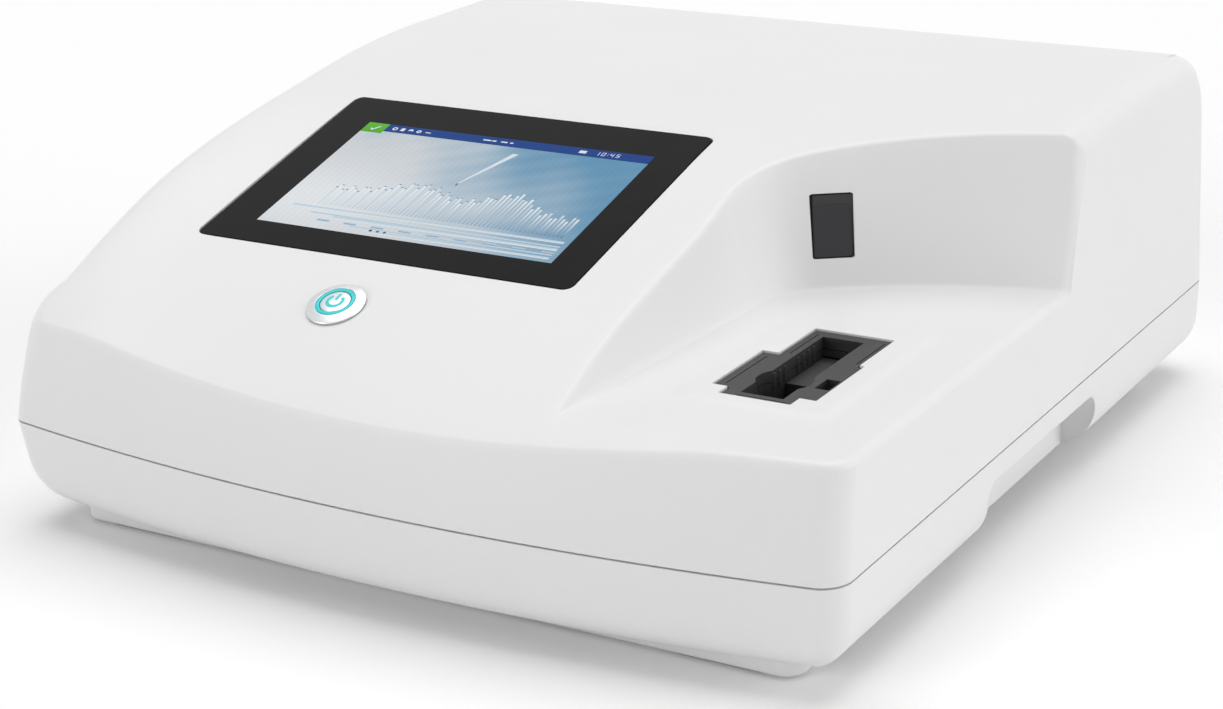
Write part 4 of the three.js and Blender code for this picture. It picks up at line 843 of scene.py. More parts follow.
class UpperHousing:
    """The upper moulding: deck, crest, bay and shoulders in one skin, with openings for what it carries."""

    # shares of the walls' height, and the rows and the X between which the rear opening lies
    WALL_ROWS = (0, 0.04, 0.1114, 0.25, 0.4, 0.55, 0.7, 0.8, 0.845, 0.866, 0.8879, 0.91, 0.935, 0.965, 1.0)
    OPENING_ROWS, OPENING_X = (2, 10), (-100.9, 81.01)
    ROUND_STEPS = 12
    # the corner line starts at these levels, and each pass moves it by a share of its gap to the deck
    START_FRONT, START_BACK, PASSES, PASS_SHARE = 62.0, 104.0, 14, 0.7
    # the round grows along the left side between two -Y and up the right side between two levels, and it
    # fades over shares of the left front corner and of the rear ones
    LEFT_GROWS, RIGHT_GROWS, CORNER_FADES, REAR_FADES = (70, 128), (88, 109), (0.4, 1.0), (0.75, 1.0)
    # the deck's slope is read between two insets, kept in limits and averaged over some samples
    SLOPE_INSETS, SLOPE_LIMITS, AVERAGED = (2, 4), (-0.05, 0.7), 9
    # behind this Y the rounds keep their own level, and the sides' last row zigzags by this much
    REAR_FROM, ZIGZAG = 90, 0.005
    # the wall's guide lines: spacing along the course, arc and plane pieces, and what they keep clear of
    STATION, ARC_PIECES, PLANE_PIECES, BESIDE, LEAST_TALL, LEAST_CLEAR = 1.5, 6, 8, 2, 0.4, 0.5
    # the wall's top depends on the deck over it: a first guess of its offset, and the passes that settle it
    FIRST_TOP, TOP_PASSES = 5.0, 4
    # the cover's loose points: spacing, share of it between rows, half field, and their least distance
    GRID, ROW_SHARE, FIELD_X, FIELD_Y, GRID_CLEAR = 3.6, 0.87, 140, 156, 1.7
    # how far the guides round the insert's field lie in and out of it, their corners and their spacing
    PLATEAU_GUIDES, GUIDE_CORNER, GUIDE_SPACING = np.linspace(-4, 4, 7), 6, 3
    BUTTON_HOLE, HOLDER_GAP = 8.1, 0.35
    # the skin's thickness as a share of the CAD's wall
    WALL_SHARE = 0.75

    def __init__(self, skin: Skin, display: "Display", holder: "CellHolder") -> None:
        """Keeps what the housing is shaped by."""
        self.skin, self.display, self.holder = skin, display, holder

    def _corner_line(self, rear_turn: Array) -> Array:
        """Levels at which the walls meet the deck, found by repeated steps towards the deck's height."""
        skin = self.skin
        level = np.where(skin.part < skin.RIGHT, self.START_FRONT, self.START_BACK)
        for _ in range(self.PASSES):
            place = skin.ring(level)[0]
            gap = skin.height(place[:, 0], place[:, 1]) - level
            level = level + self.PASS_SHARE * np.where(rear_turn > 0.999, 0, gap)
        return level

    def _radius(self, level: Array, y: Array, rear_turn: Array) -> Array:
        """Radius of the round at each sample: small at the front, large along the sides, none at the rear."""
        skin, form, part = self.skin, self.skin.form, self.skin.part
        wide = form.side_round + (form.left_round - form.side_round) * (part > skin.LEFT_REAR) \
            * smooth(-y, *self.LEFT_GROWS)
        share = np.select([part < skin.RIGHT, part == skin.RIGHT, part == skin.LEFT_FRONT],
                          [0, smooth(level, *self.RIGHT_GROWS),
                           1 - smooth(skin.share, *self.CORNER_FADES)], 1)
        kept = np.cos(rear_turn * np.pi / 2) ** 2 * (1 - smooth(rear_turn, *self.REAR_FADES))
        return (form.edge_round + (wide - form.edge_round) * share) * np.maximum(kept, 1e-3)

    def _slope(self, place: Array, inward: Array) -> Array:
        """The deck's rise inwards along the front and its two corners, as an angle, and none elsewhere."""
        skin = self.skin
        near, far = self.SLOPE_INSETS
        low, high = (skin.height(*(place + inward * inset).T) for inset in (near, far))
        bowed = (skin.part < skin.RIGHT) | (skin.part == skin.LEFT_FRONT)
        slope = np.where(bowed, np.clip(np.arctan((high - low) / (far - near)), *self.SLOPE_LIMITS), 0)
        wrap = self.AVERAGED // 2
        return np.convolve(np.concatenate([slope[-wrap:], slope, slope[:wrap]]),
                           np.ones(self.AVERAGED) / self.AVERAGED, "valid")

    def shoulder(self) -> tuple[list[Array], Array]:
        """Rows from the parting line up the walls and over the shoulders.

        A wall that leans by b and a deck that rises by a meet at a corner. The round between them touches
        each at radius * tan(t / 2) from the corner, with t = 90 degrees - a - b, and its points are
        subtracted from the deck's straight line there, so that they follow a curved deck as well. Behind the
        front, each row follows the outline at its own level, round the rear's large round.

        Returns:
            The rows of points, and the last row's X and Y.
        """
        skin, form, part = self.skin, self.skin.form, self.skin.part
        rear_turn = np.select([part == skin.RIGHT_REAR, part == skin.LEFT_REAR, part == skin.REAR],
                              [skin.share, 1 - skin.share, 1], 0)
        level = self._corner_line(rear_turn)
        place, inward = skin.ring(level)
        below = skin.ring(level - 1.0)[0]
        lean = np.where((part > skin.RIGHT) & (part < skin.LEFT), form.side_draft,
                        np.arctan(((place - below) * inward).sum(1)))
        radius = self._radius(level, place[:, 1], rear_turn)
        slope = self._slope(place, inward)
        turn = np.pi / 2 - lean - slope
        reach = radius * np.tan(turn / 2)
        low = form.parting + form.seam / 2
        top = level - reach * np.cos(lean)
        rows = [at_level(skin.ring(z)[0], z) for z in (low + (top - low) * share for share in self.WALL_ROWS)]
        behind = (part > skin.RIGHT_FRONT) & (part < skin.LEFT_FRONT)
        # so that no three samples of a side's last row are in line
        zigzag = self.ZIGZAG * (-1.0) ** np.arange(skin.count) * ((part == skin.RIGHT) | (part == skin.LEFT))
        for step in np.linspace(0, 1, self.ROUND_STEPS + 1)[1:]:
            angle = np.pi / 2 - lean - turn * step
            inset = -reach * np.sin(lean) + radius * (np.cos(lean) - np.sin(angle))
            rise = -reach * np.cos(lean) - radius * np.sin(lean) + radius * np.cos(angle)
            shift = inset + zigzag * (step == 1)
            drawn = shift - rise * math.tan(form.side_draft)
            at = np.where(behind[:, None], skin.ring(level + rise)[0] + inward * drawn[:, None],
                          place + inward * shift[:, None])
            z = np.where(behind & (place[:, 1] > self.REAR_FROM), level + rise,
                         skin.height(at[:, 0], at[:, 1]) - (inset * np.tan(slope) - rise))
            rows.append(at_level(at, z))
        return rows, rows[-1][:, :2]

    def wall_lines(self, outer: Array) -> list[Array]:
        """Lines along the bay wall at which its section bends, trimmed to the outline."""
        skin, course = self.skin, self.skin.course
        stations = np.arange(0, course.run[-1], self.STATION)
        number = np.searchsorted(course.run, stations).clip(0, len(course.run) - 1)
        at, left = course.points[number], course.left[number]
        top_at = np.full(len(at), self.FIRST_TOP)
        for _ in range(self.TOP_PASSES):
            edge = at + left * top_at[:, None]
            tall = np.maximum(skin.form.top(edge[:, 0], edge[:, 1]) - skin.form.bay_floor, 0)
            lean = skin.form.lean_at(edge[:, 1])
            foot_at, top_at, foot, top = skin.wall_line(tall, lean)
        cosine, full = np.cos(lean), np.pi / 2 - lean
        arc, plane = (np.linspace(0, 1, pieces + 1) for pieces in (self.ARC_PIECES, self.PLANE_PIECES))
        start, end = foot_at + foot * cosine, top_at - top * cosine
        sections = [foot_at - self.BESIDE, foot_at,
                    *[foot_at + foot * np.sin(full * share) for share in arc[1:]],
                    *[start + (end - start) * share for share in plane[1:-1]],
                    *[top_at - top * np.sin(full * share) for share in arc[::-1]], top_at + self.BESIDE]
        lines = []
        for section in sections:
            line = at + left * section[:, None]
            margin = np.min(np.linalg.norm(line[:, None] - outer[None], axis=2), axis=1)
            clear = inside(line, outer) & (tall > self.LEAST_TALL) & (margin > self.LEAST_CLEAR)
            if clear.any():
                first, last = np.flatnonzero(clear)[[0, -1]]
                lines.append(line[first:last + 1])
        return lines

    def window_hole(self, window: "ReaderWindow") -> Array:
        """The reader window's opening, drawn on the curved wall by place along the course and height."""
        form, course = self.skin.form, self.skin.course
        middle = int(np.argmin(np.abs(course.headings - window.heading)))
        lean = float(form.lean_at(0.0))
        half, tall = window.width / 2 + window.gap, (window.tall / 2 + window.gap) * math.cos(lean)
        flat = densified(rectangle(-half, half, -tall, tall, window.hole_corner, 3), 1.0)
        number = np.searchsorted(course.run, course.run[middle] + flat[:, 0])
        z = form.bay_floor + window.centre + flat[:, 1]
        out = (z - form.bay_floor) * math.tan(lean) + form.foot_offset
        return course.points[number] + course.left[number] * out[:, None]

    def _loose(self, outer: Array, fixed: Array) -> Array:
        """Points of a triangle grid inside the outline, at some distance from the fixed points."""
        x, y = np.meshgrid(np.arange(-self.FIELD_X, self.FIELD_X + 1, self.GRID),
                           np.arange(-self.FIELD_Y, self.FIELD_Y + 1, self.GRID * self.ROW_SHARE))
        x = x + (np.arange(len(y)) % 2)[:, None] * self.GRID / 2
        loose = np.stack([x.ravel(), y.ravel()], -1)
        loose = loose[inside(loose, outer)]
        near = [np.linalg.norm(loose[part][:, None] - fixed[None], axis=2).min(1)
                for part in parts(len(loose))]
        return loose[np.concatenate(near) > self.GRID_CLEAR]

    def build(self, window: "ReaderWindow", material: Material) -> Piece:
        """Makes the housing.

        Args:
            window: The reader window that the bay wall carries.
            material: The moulding's finish.

        Returns:
            The housing's piece.
        """
        skin, display = self.skin, self.display
        rows, outer = self.shoulder()
        button_hole = turned([(self.BUTTON_HOLE, 0)], 64)[0][:, :2] * [1, math.cos(display.button_tilt)] \
            + display.button_place[:2]
        holes = [display.opening(), button_hole, self.holder.opening(self.HOLDER_GAP),
                 self.window_hole(window)]
        lines = self.wall_lines(outer)
        x0, x1, y0, y1 = skin.form.plateau
        for grow in self.PLATEAU_GUIDES:
            ring = rectangle(x0 - grow, x1 + grow, y0 - grow, y1 + grow, self.GUIDE_CORNER, 8)
            ring = densified(ring, self.GUIDE_SPACING)
            lines.append(np.concatenate([ring, ring[:1]]))
        flat, triangles = triangulated(outer, holes, lines,
                                       self._loose(outer, np.concatenate([outer, *holes, *lines])))
        wall, quads = loft(rows, False)
        column, row = np.arange(len(quads)) % skin.count, np.arange(len(quads)) // skin.count
        x = skin.share[column]
        opened = (skin.part[column] == skin.REAR) & (x > self.OPENING_X[0]) & (x <= self.OPENING_X[1]) \
            & (row >= self.OPENING_ROWS[0]) & (row < self.OPENING_ROWS[1])
        whole = Gathered()
        whole.take(wall, np.array(quads)[~opened])
        whole.take(at_level(flat, skin.height(flat[:, 0], flat[:, 1])), triangles)
        piece = put_mesh("housing_upper", whole.points, whole.faces, material, Slot.SHELL,
                         stands_for=["upper_housing"])
        with edited(piece.data, SEAM_GAP) as edit:
            bmesh.ops.recalc_face_normals(edit, faces=edit.faces)
            if max(edit.faces, key=lambda face: face.calc_center_median().z).normal.z < 0:
                bmesh.ops.reverse_faces(edit, faces=edit.faces)
        shell = piece.modifiers.new("wall", "SOLIDIFY")
        shell.thickness, shell.offset = skin.form.wall * self.WALL_SHARE * MM, -1.0
        return finish_mesh(piece, 35, outward=False)


@dataclass(frozen=True)
class ReaderWindow:
    """The dark window of the code reader in the bay wall."""

    heading: float = math.radians(35.2)
    centre: float = 18.9
    width: float = 12.2
    tall: float = 19.31
    corner: float = 0.6
    hole_corner: float = 0.8
    gap: float = 0.3
    sink: float = 0.4
    thickness: float = 1.5
    chamfer: float = 0.25

    def place(self, skin: Skin) -> Matrix:
        """The window's frame: X along the wall, Y up the wall and Z out of the bay wall into the bay."""
        form, course = skin.form, skin.course
        lean = float(form.lean_at(0.0))
        reach = form.sweep_radius + self.centre * math.tan(lean) + form.foot_offset
        origin = (course.sweep_centre[0] - reach * math.sin(self.heading),
                  course.sweep_centre[1] + reach * math.cos(self.heading), form.bay_floor + self.centre)
        # in this frame the wall's own -Y, which looks into the bay, is the plate's +Z
        turn = Matrix.Rotation(self.heading, 4, "Z") @ Matrix.Rotation(-lean, 4, "X") \
            @ Matrix.Rotation(math.pi / 2, 4, "X")
        return Matrix.Translation(origin) @ turn

    def build(self, skin: Skin, material: Material) -> Piece:
        """Makes the window with softly broken edges."""
        outline = rectangle(-self.width / 2, self.width / 2, -self.tall / 2, self.tall / 2, self.corner, 4)
        return plate("reader_pane", outline, [], -self.sink - self.thickness, -self.sink, self.chamfer,
                     material, Slot.GLASS, ["reader_window"], self.place(skin))


@dataclass(frozen=True)
class LowerHousing:
    """The base tray with its finger grips, foot bars and the recesses under it."""

    skin: Skin
    # the room inside reaches past the tray's rim, so that the cut leaves it open
    room_above: float = 12.0
    grip_half: float = 44.0
    grip_bottom: float = -12.0
    grip_top: float = 26.6
    grip_corner: float = 6.0
    grip_depth: float = 11.2
    grip_wall: float = 3.0
    grip_past: float = 153.0
    cover_seat: tuple[float, float, float, float] = (-115.3, -16.7, -112.3, -55.7)
    cover_seat_top: float = 9.1
    cover_seat_corner: float = 1.0
    screw_x: float = 124.0
    screw_y: float = 112.0
    screw_radius: float = 3.9
    screw_top: float = 12.7
    bar_places: tuple[tuple[str, float], ...] = (("front", -127.6), ("rear", 126.0))
    bar_half_length: float = 124.5
    bar_half_width: float = 7.0
    bar_corner: float = 6.5
    bar_round: float = 1.2
    bar_low: float = 1.0
    bar_high: float = 9.0
    # inset and height of each corner of the tongue's section
    tongue_section: tuple[tuple[float, float], ...] = ((1.4, 32.4), (1.4, 36.4), (2.6, 36.4), (2.6, 32.4),
                                                       (1.4, 32.4))

    def tray(self, inset: float, low: float, high: float) -> tuple[Array, list[Sequence[int]]]:
        """A closed tray: straight walls from the parting line, rounded under to a flat base.

        Each ring of the round lies at low + r (1 - sin a) and is drawn in by r (1 - cos a).

        Args:
            inset: How far the walls are drawn in.
            low: Level of the base.
            high: Level of the rim.

        Returns:
            The points and the faces.
        """
        form, ring = self.skin.form, self.skin.ring
        straight = np.linspace(high, low + form.base_round, 5)[:-1]
        rings = [at_level(ring(z, inset)[0], z) for z in straight]
        for angle in np.linspace(0, np.pi / 2, 15):
            z = low + form.base_round * (1 - math.sin(angle))
            gone = form.base_round * (1 - math.cos(angle))
            rings.append(at_level(ring(z, inset + gone, inset + gone * form.base_front_share)[0], z))
        return loft(rings)

    def grip(self, grow: float, way: int) -> tuple[Array, list[Sequence[int]]]:
        """A finger grip's room, grown by a wall; way is 1 for the right."""
        half, bottom, high = self.grip_half + grow, self.grip_bottom, self.grip_top + grow
        outline = rounded([(-half, bottom), (half, bottom), (half, high), (-half, high)], self.grip_corner, 8)
        outline[:, 1] = np.where(outline[:, 1] < 0, bottom, outline[:, 1])
        inner = self.skin.form.width / 2 - self.grip_depth - grow
        return loft([at_level(outline, x)[:, [2, 0, 1]] for x in sorted((way * inner, way * self.grip_past))])

    def build(self, material: Material) -> Piece:
        """Makes the tray, hollow but for its grips' walls, with its recesses cut from below."""
        form = self.skin.form
        wall = form.base_wall
        room = helper(*self.tray(wall, form.underside + wall, form.parting + self.room_above))
        piece = put_mesh("housing_lower", *self.tray(0, form.underside, form.parting - form.seam / 2),
                         material, Slot.SHELL, stands_for=["lower_housing"])
        for way in (-1, 1):
            cut_with(room, helper(*self.grip(self.grip_wall, way)))
        cut_with(piece, room)
        for way in (-1, 1):
            cut_with(piece, helper(*self.grip(0.0, way)))
        bore = turned([(self.screw_radius, 0)], 40)[0][:, :2]
        recesses = [(rectangle(*self.cover_seat, self.cover_seat_corner, 3), self.cover_seat_top)]
        recesses += [(bore + [x, y], self.screw_top) for x in (-self.screw_x, self.screw_x)
                     for y in (-self.screw_y, self.screw_y)]
        for outline, top in recesses:
            cut_with(piece, helper(*loft([at_level(outline, 0.0), at_level(outline, top)])))
        return finish_mesh(piece, 32)

    def bars(self, material: Material) -> list[Piece]:
        """The two foot bars, rounded along their lower edges."""
        made = []
        for name, y in self.bar_places:
            rings = []
            for angle in np.linspace(0, np.pi / 2, 7):
                gone = self.bar_round * (1 - math.cos(angle))
                x, reach = self.bar_half_length - gone, self.bar_half_width
                outline = rectangle(-x, x, y - reach + gone, y + reach - gone, self.bar_corner - gone, 10)
                rings.append(at_level(outline, self.bar_low + self.bar_round * (1 - math.sin(angle))))
            rings.insert(0, at_level(rings[0][:, :2], self.bar_high))
            made.append(finish_mesh(put_mesh(f"foot_bar_{name}", *loft(rings), material, Slot.SHELL), 40))
        return made

    def tongue(self, material: Material) -> Piece:
        """The dark lip inside the seam between the two mouldings."""
        rings = [at_level(self.skin.ring(self.skin.form.parting, inset)[0], z)
                 for inset, z in self.tongue_section]
        return finish_mesh(put_mesh("seam_tongue", *loft(rings, False), material, Slot.BLACK), 40)


@dataclass(frozen=True)
class Display:
    """The dark glass over the touch screen, the picture on it and the power button below it."""

    form: CaseForm
    width: float = 136.2
    length: float = 92.5
    thickness: float = 1.6
    corner: float = 3.0
    chamfer: float = 0.35
    centre_x: float = -37.4
    inset: float = 0.5
    gap: float = 0.3
    picture_width: float = 108.0
    picture_height: float = 64.8
    picture_left: float = 15.1
    picture_low: float = 12.0
    button_x: float = -35.5
    button_y: float = -114.0
    button_sink: float = 0.1

    @property
    def place(self) -> Matrix:
        """The glass's frame: X across, Y up the slope and Z out of the deck."""
        form = self.form
        run = self.inset + self.length / 2
        origin = (self.centre_x, form.flat_low_y + run * math.cos(form.slope),
                  form.flat_low_z + run * math.sin(form.slope))
        return Matrix.Translation(origin) @ Matrix.Rotation(form.slope, 4, "X")

    @property
    def button_tilt(self) -> float:
        """The brow's slope at the button."""
        return math.asin((self.form.brow_centre[0] - self.button_y) / self.form.brow_radius)

    @property
    def button_place(self) -> Array:
        """The button's centre on the brow."""
        level = float(self.form.top(self.button_x, self.button_y))
        return np.array([self.button_x, self.button_y, level - self.button_sink])

    def outline(self, grow: float, steps: int) -> Array:
        """The glass's outline in its own frame, grown by a gap."""
        half_x, half_y = self.width / 2 + grow, self.length / 2 + grow
        return rectangle(-half_x, half_x, -half_y, half_y, self.corner + grow, steps)

    def opening(self) -> Array:
        """The recess for the glass, in plan."""
        return moved(at_level(densified(self.outline(self.gap, 8), 3), 0.0), self.place)[:, :2]

    def glass(self, material: Material) -> Piece:
        """Makes the glass."""
        return plate("display_pane", self.outline(0.0, 10), [], -self.thickness, 0.0, self.chamfer, material,
                     Slot.GLASS, ["display_glass"], self.place)


class ScreenPicture(Gathered):
    """A generic measuring page: a soft sky, a status bar, a green tile, a scale of bars and page dots.

    The page has its own frame in millimetres, with X across, Y up and the origin at the lower left. Its
    shapes lie on layers, each a little above the last.
    """

    LIFT, LAYER, STATUS = 0.02, 0.012, 4.6
    WHITE, BLUE = linear("#E8F1FA"), linear("#063F8C")
    SKY = (linear("#D5DADF"), linear("#A6BFD1"), linear("#6399BC"))
    SKY_GLOW = linear("#EEF2F5")
    TILE = (linear("#4FAE24"), linear("#63BE30"))
    PALE, CLEAR, DARK = linear("#DCE8F0"), linear("#F4F9FC"), linear("#5C8FB4")
    # colours of the level bands' lower and upper edges, taken in turn, then each band's Y and height
    BANDS = ((linear("#E9F2F7"), linear("#B5CFE0")), (linear("#9DBED6"), linear("#E6EFF5")))
    BAND_PLACES = ((10.6, 1.3), (8.2, 0.8), (6.4, 1.5), (3.6, 0.7), (1.6, 1.2))
    DASH = (linear("#6FA0C4"), linear("#CFE0EC"))
    BEAM, DROP = linear("#E4EDF4"), linear("#3D6F99")
    DOT_ON, DOT_OFF = linear("#1E2A33"), linear("#5B6B78")
    # left, low, width and height of a seven-bar digit's bars, and the bars of the digits shown
    DIGIT_BARS = {"a": (0, 1.75, 1.3, 0.26), "b": (1.04, 1, 0.26, 1), "c": (1.04, 0, 0.26, 1),
                  "d": (0, 0, 1.3, 0.26), "e": (0, 0, 0.26, 1), "f": (0, 1, 0.26, 1),
                  "g": (0, 0.88, 1.3, 0.26)}
    DIGITS = {"0": "abcdef", "1": "bc", "4": "bcfg", "5": "acdfg"}

    def __init__(self, display: Display) -> None:
        """Takes the page's size and place from the display."""
        super().__init__()
        self.width, self.height = display.picture_width, display.picture_height
        self.place = display.place @ Matrix.Translation(
            (display.picture_left - display.width / 2, display.picture_low - display.length / 2, self.LIFT))
        self.tints: list[Array] = []

    def _shape(self, flat: Array, layer: int, tints: Array | Sequence[float],
               faces: Iterable[Sequence[int]] | None = None) -> None:
        """Adds a shape on a layer, as one face if none are given, with one colour or one for each point."""
        self.take(at_level(flat, self.LAYER * layer), [range(len(flat))] if faces is None else faces)
        self.tints.append(np.broadcast_to(tints, (len(flat), 4)))

    def _bar(self, x: float, y: float, width: float, height: float, layer: int = 3,
             low: Sequence[float] = WHITE, high: Sequence[float] | None = None) -> None:
        """Adds an upright bar that fades from one colour to another, if there are two."""
        flat = np.array([(x, y), (x + width, y), (x + width, y + height), (x, y + height)])
        high = low if high is None else high
        self._shape(flat, layer, np.array([low, low, high, high]))

    def _ring(self, x: float, y: float, inner: float, outer: float, colour: Sequence[float] = WHITE,
              start: float = 0.0, end: float = 2 * math.pi) -> None:
        """Adds a ring or part of one."""
        angle = np.linspace(start, end, 28)
        way = np.stack([np.cos(angle), np.sin(angle)], -1)
        self._shape(np.concatenate([way * inner, way * outer]) + [x, y], 3, colour,
                    grid_faces(2, len(angle), False)[:, ::-1])

    def _sky(self) -> None:
        """The background: near white at the lower left, blue towards the upper right, with soft beams.

        The blue's share is a smooth step along the diagonal plus three weak waves across it.
        """
        x, y = np.meshgrid(np.linspace(0, 1, 109), np.linspace(0, 1, 66))
        wave = 0.05 * np.sin(9 * x - 5 * y) + 0.03 * np.sin(23 * x + 7 * y) + 0.02 * np.sin(41 * (x - y))
        share = smooth(0.78 * x + 0.34 * y + wave * (0.4 + y), 0.3, 1.05)[..., None]
        glow = np.exp(-((x - 0.08) ** 2 + (y - 0.28) ** 2) / 0.12)[..., None]
        pale, mid, deep = (np.array(colour) for colour in self.SKY)
        tints = np.where(share < 0.5, pale + (mid - pale) * share * 2, mid + (deep - mid) * (share * 2 - 1))
        tints = tints + (np.array(self.SKY_GLOW) - tints) * glow * 0.9
        flat = np.stack([x * self.width, y * (self.height - self.STATUS)], -1).reshape(-1, 2)
        self._shape(flat, 0, tints.reshape(-1, 4), grid_faces(66, 109, False))

    def _scale(self) -> None:
        """The lower half: tall thin bars of varying height, like a spectrum, over level bands.

        The bars' height is a base, two bell curves and a weak wave.
        """
        count, first, pitch, foot, width, cap = 62, 14, 1.46, 13.5, 0.85, 0.5
        for i in range(count):
            x = first + i * pitch
            tall = 11 + 7 * math.exp(-((i - 20) / 9) ** 2) + 9 * math.exp(-((i - 43) / 7) ** 2) \
                + 1.6 * math.sin(i * 1.9)
            base = [a + (b - a) * (i / (count - 1)) for a, b in zip(self.PALE, self.DARK)]
            self._bar(x, foot, width, tall, 1, base, self.CLEAR if i % 3 else self.PALE)
            self._bar(x, foot - 0.6 + tall, width, cap, 2, self.DARK)
        for i, (y, height) in enumerate(self.BAND_PLACES):
            start = 6.0 + 9 * i
            self._bar(start, y, self.width - start - 2, height, 1, *self.BANDS[i % 2])
        for i in range(9):
            self._bar(20 + i * 10.2, 4.4, 4.6, 1.1, 2, *self.DASH)
        top = self.height - 8.5
        self._shape(np.array([(61.0, top), (63.2, top), (53.6, 35.5), (53.0, 35.5)]), 1, self.BEAM)
        self._shape(np.array([(52.8, 35.2), (53.6, 35.2), (53.2, 33.2)]), 1, self.DROP)

    def _status(self) -> None:
        """The dark blue bar across the top, with a green tile, small signs and a clock."""
        low = self.height - self.STATUS
        middle = (low + self.height) / 2
        self._bar(0, low, self.width, self.STATUS, 2, self.BLUE)
        self._bar(0, low - 1.5, 8.2, self.STATUS + 1.5, 3, *self.TILE)
        tick = np.array([(2.6, low + 0.9), (3.6, low - 0.1), (5.9, low + 2.5), (5.5, low + 2.9),
                         (3.6, low + 0.8), (3.0, low + 1.3)])
        self._shape(tick, 4, self.WHITE, [[0, 1, 4, 5], [1, 2, 3, 4]])
        self._ring(11.6, middle, 0.5, 1.0)
        self._bar(13.9, middle - 0.9, 1.5, 1.8)
        self._ring(17.8, middle, 0.0, 0.9, start=-0.5, end=math.pi + 0.5)
        self._ring(21.0, middle, 0.35, 0.9)
        self._bar(23.6, middle - 0.25, 2.0, 0.5)
        for i, long in enumerate((3.0, 1.6, 2.4, 1.2)):
            self._bar(46 + 3.4 * i, middle - 0.35, long, 0.7)
        self._bar(82.0, middle - 0.8, 2.6, 1.6)
        for x, digit in zip((88.0, 90.2, 93.2, 95.4), "1045"):
            for left, base, width, height in (self.DIGIT_BARS[key] for key in self.DIGITS[digit]):
                self._bar(x + left, middle - 1.0 + base, width, height, 4)
        for y in (middle - 0.55, middle + 0.35):
            self._bar(92.3, y, 0.28, 0.28)

    def build(self, material: Material) -> Piece:
        """Makes the page as one piece of flat layers with a colour for each vertex."""
        self._sky()
        self._scale()
        self._status()
        for i in range(3):
            self._ring(41.5 + 2.6 * i, 2.9, 0.0, 0.55, self.DOT_OFF if i else self.DOT_ON)
        piece = put_mesh("screen_page", moved(self.points, self.place), self.faces, material, Slot.SCREEN)
        tint = piece.data.color_attributes.new("tint", "FLOAT_COLOR", "POINT")
        tint.data.foreach_set("color", np.concatenate(self.tints).astype(np.float32).ravel())
        return piece


@dataclass(frozen=True)
class CellHolder:
    """The stepped dark insert in the bay floor, with its pocket, round well and side pocket."""

    x: float = 82.3
    y: float = -106.8
    width: float = 31.2
    length: float = 59.5
    corner: float = 0.35
    base_low: float = 63.8
    face_low: float = 66.5
    face_high: float = 67.3
    pocket: tuple[float, float, float, float] = (91.6, 104.8, -103.1, -51.5)
    well: tuple[float, float, float] = (98.2, -89.0, 8.35)
    side: tuple[float, float, float, float] = (108.3, 112.9, -91.7, -83.3)
    outline_shares: tuple[tuple[float, float], ...] = (
        (0.16, 0), (0.84, 0), (0.84, 0.095), (1, 0.095), (1, 0.6), (0.95, 0.6), (0.95, 1), (0.165, 1),
        (0.165, 0.6), (0, 0.6), (0, 0.095), (0.16, 0.095))
    grooves: tuple[tuple[float, float, float, float], ...] = (
        (84.5, 85.1, -98.5, -73.5), (89.3, 89.9, -69.0, -49.5), (110.2, 110.8, -69.0, -49.5),
        (91.5, 107.0, -105.5, -104.9))
    rib_places: tuple[float, ...] = (-83.0, -79.6, -76.2, -68.0, -64.6, -61.2, -57.8)
    rib_levels: tuple[float, float] = (61.9, 66.4)
    rib_reach: float = 0.6
    rib_half: float = 0.75
    rib_sunk: float = 0.05

    def opening(self, grow: float) -> Array:
        """The insert's stepped outline, grown by a gap."""
        corners = [(self.x + a * self.width + math.copysign(grow, a - 0.5),
                    self.y + b * self.length + math.copysign(grow, b - 0.3))
                   for a, b in self.outline_shares]
        return rounded(corners, self.corner, 3)

    def mouth(self) -> Array:
        """The pocket's outline joined with the round well's."""
        x0, x1, y0, y1 = self.pocket
        cx, cy, radius = self.well
        reach = math.asin((x1 - cx) / radius)
        angle = np.linspace(reach, math.pi - reach, 16)
        across = np.stack([radius * np.sin(angle), -radius * np.cos(angle)], -1)
        return np.concatenate([[[x0, y0], [x1, y0]], across + [cx, cy],
                               [[x1, y1], [x0, y1]], [cx, cy] - across])

    def build(self, material: Material) -> list[Piece]:
        """Makes the insert: a lower plate, an upper plate with grooves, and half-round ribs in the pocket."""
        def dark(name: str, outline: Array, holes: Sequence[Array], low: float, high: float,
                 chamfer: float = 0.1, stands_for: Sequence[str] = ()) -> Piece:
            """Makes a plate of the insert's own finish."""
            return plate(name, outline, holes, low, high, chamfer, material, Slot.DARK, stands_for)

        holes = [self.mouth(), rectangle(*self.side, 0.5, 3)]
        grooves = [rectangle(*groove, 0.25, 2) for groove in self.grooves]
        rim, middle = self.opening(0.0), self.face_low
        pieces = [dark("insert_base", rim, holes, self.base_low, middle, stands_for=["cell_holder_frame"]),
                  dark("insert_face", rim, [*holes, *grooves], middle, self.face_high, 0.15)]
        wall = self.pocket[0] - self.rib_sunk
        for number, y in enumerate(self.rib_places, 1):
            rib = [(wall + self.rib_reach * math.sin(a), y - self.rib_half * math.cos(a))
                   for a in np.linspace(0, math.pi, 9)]
            pieces.append(dark(f"pocket_rib_{number}", np.array(rib), [], *self.rib_levels))
        return pieces


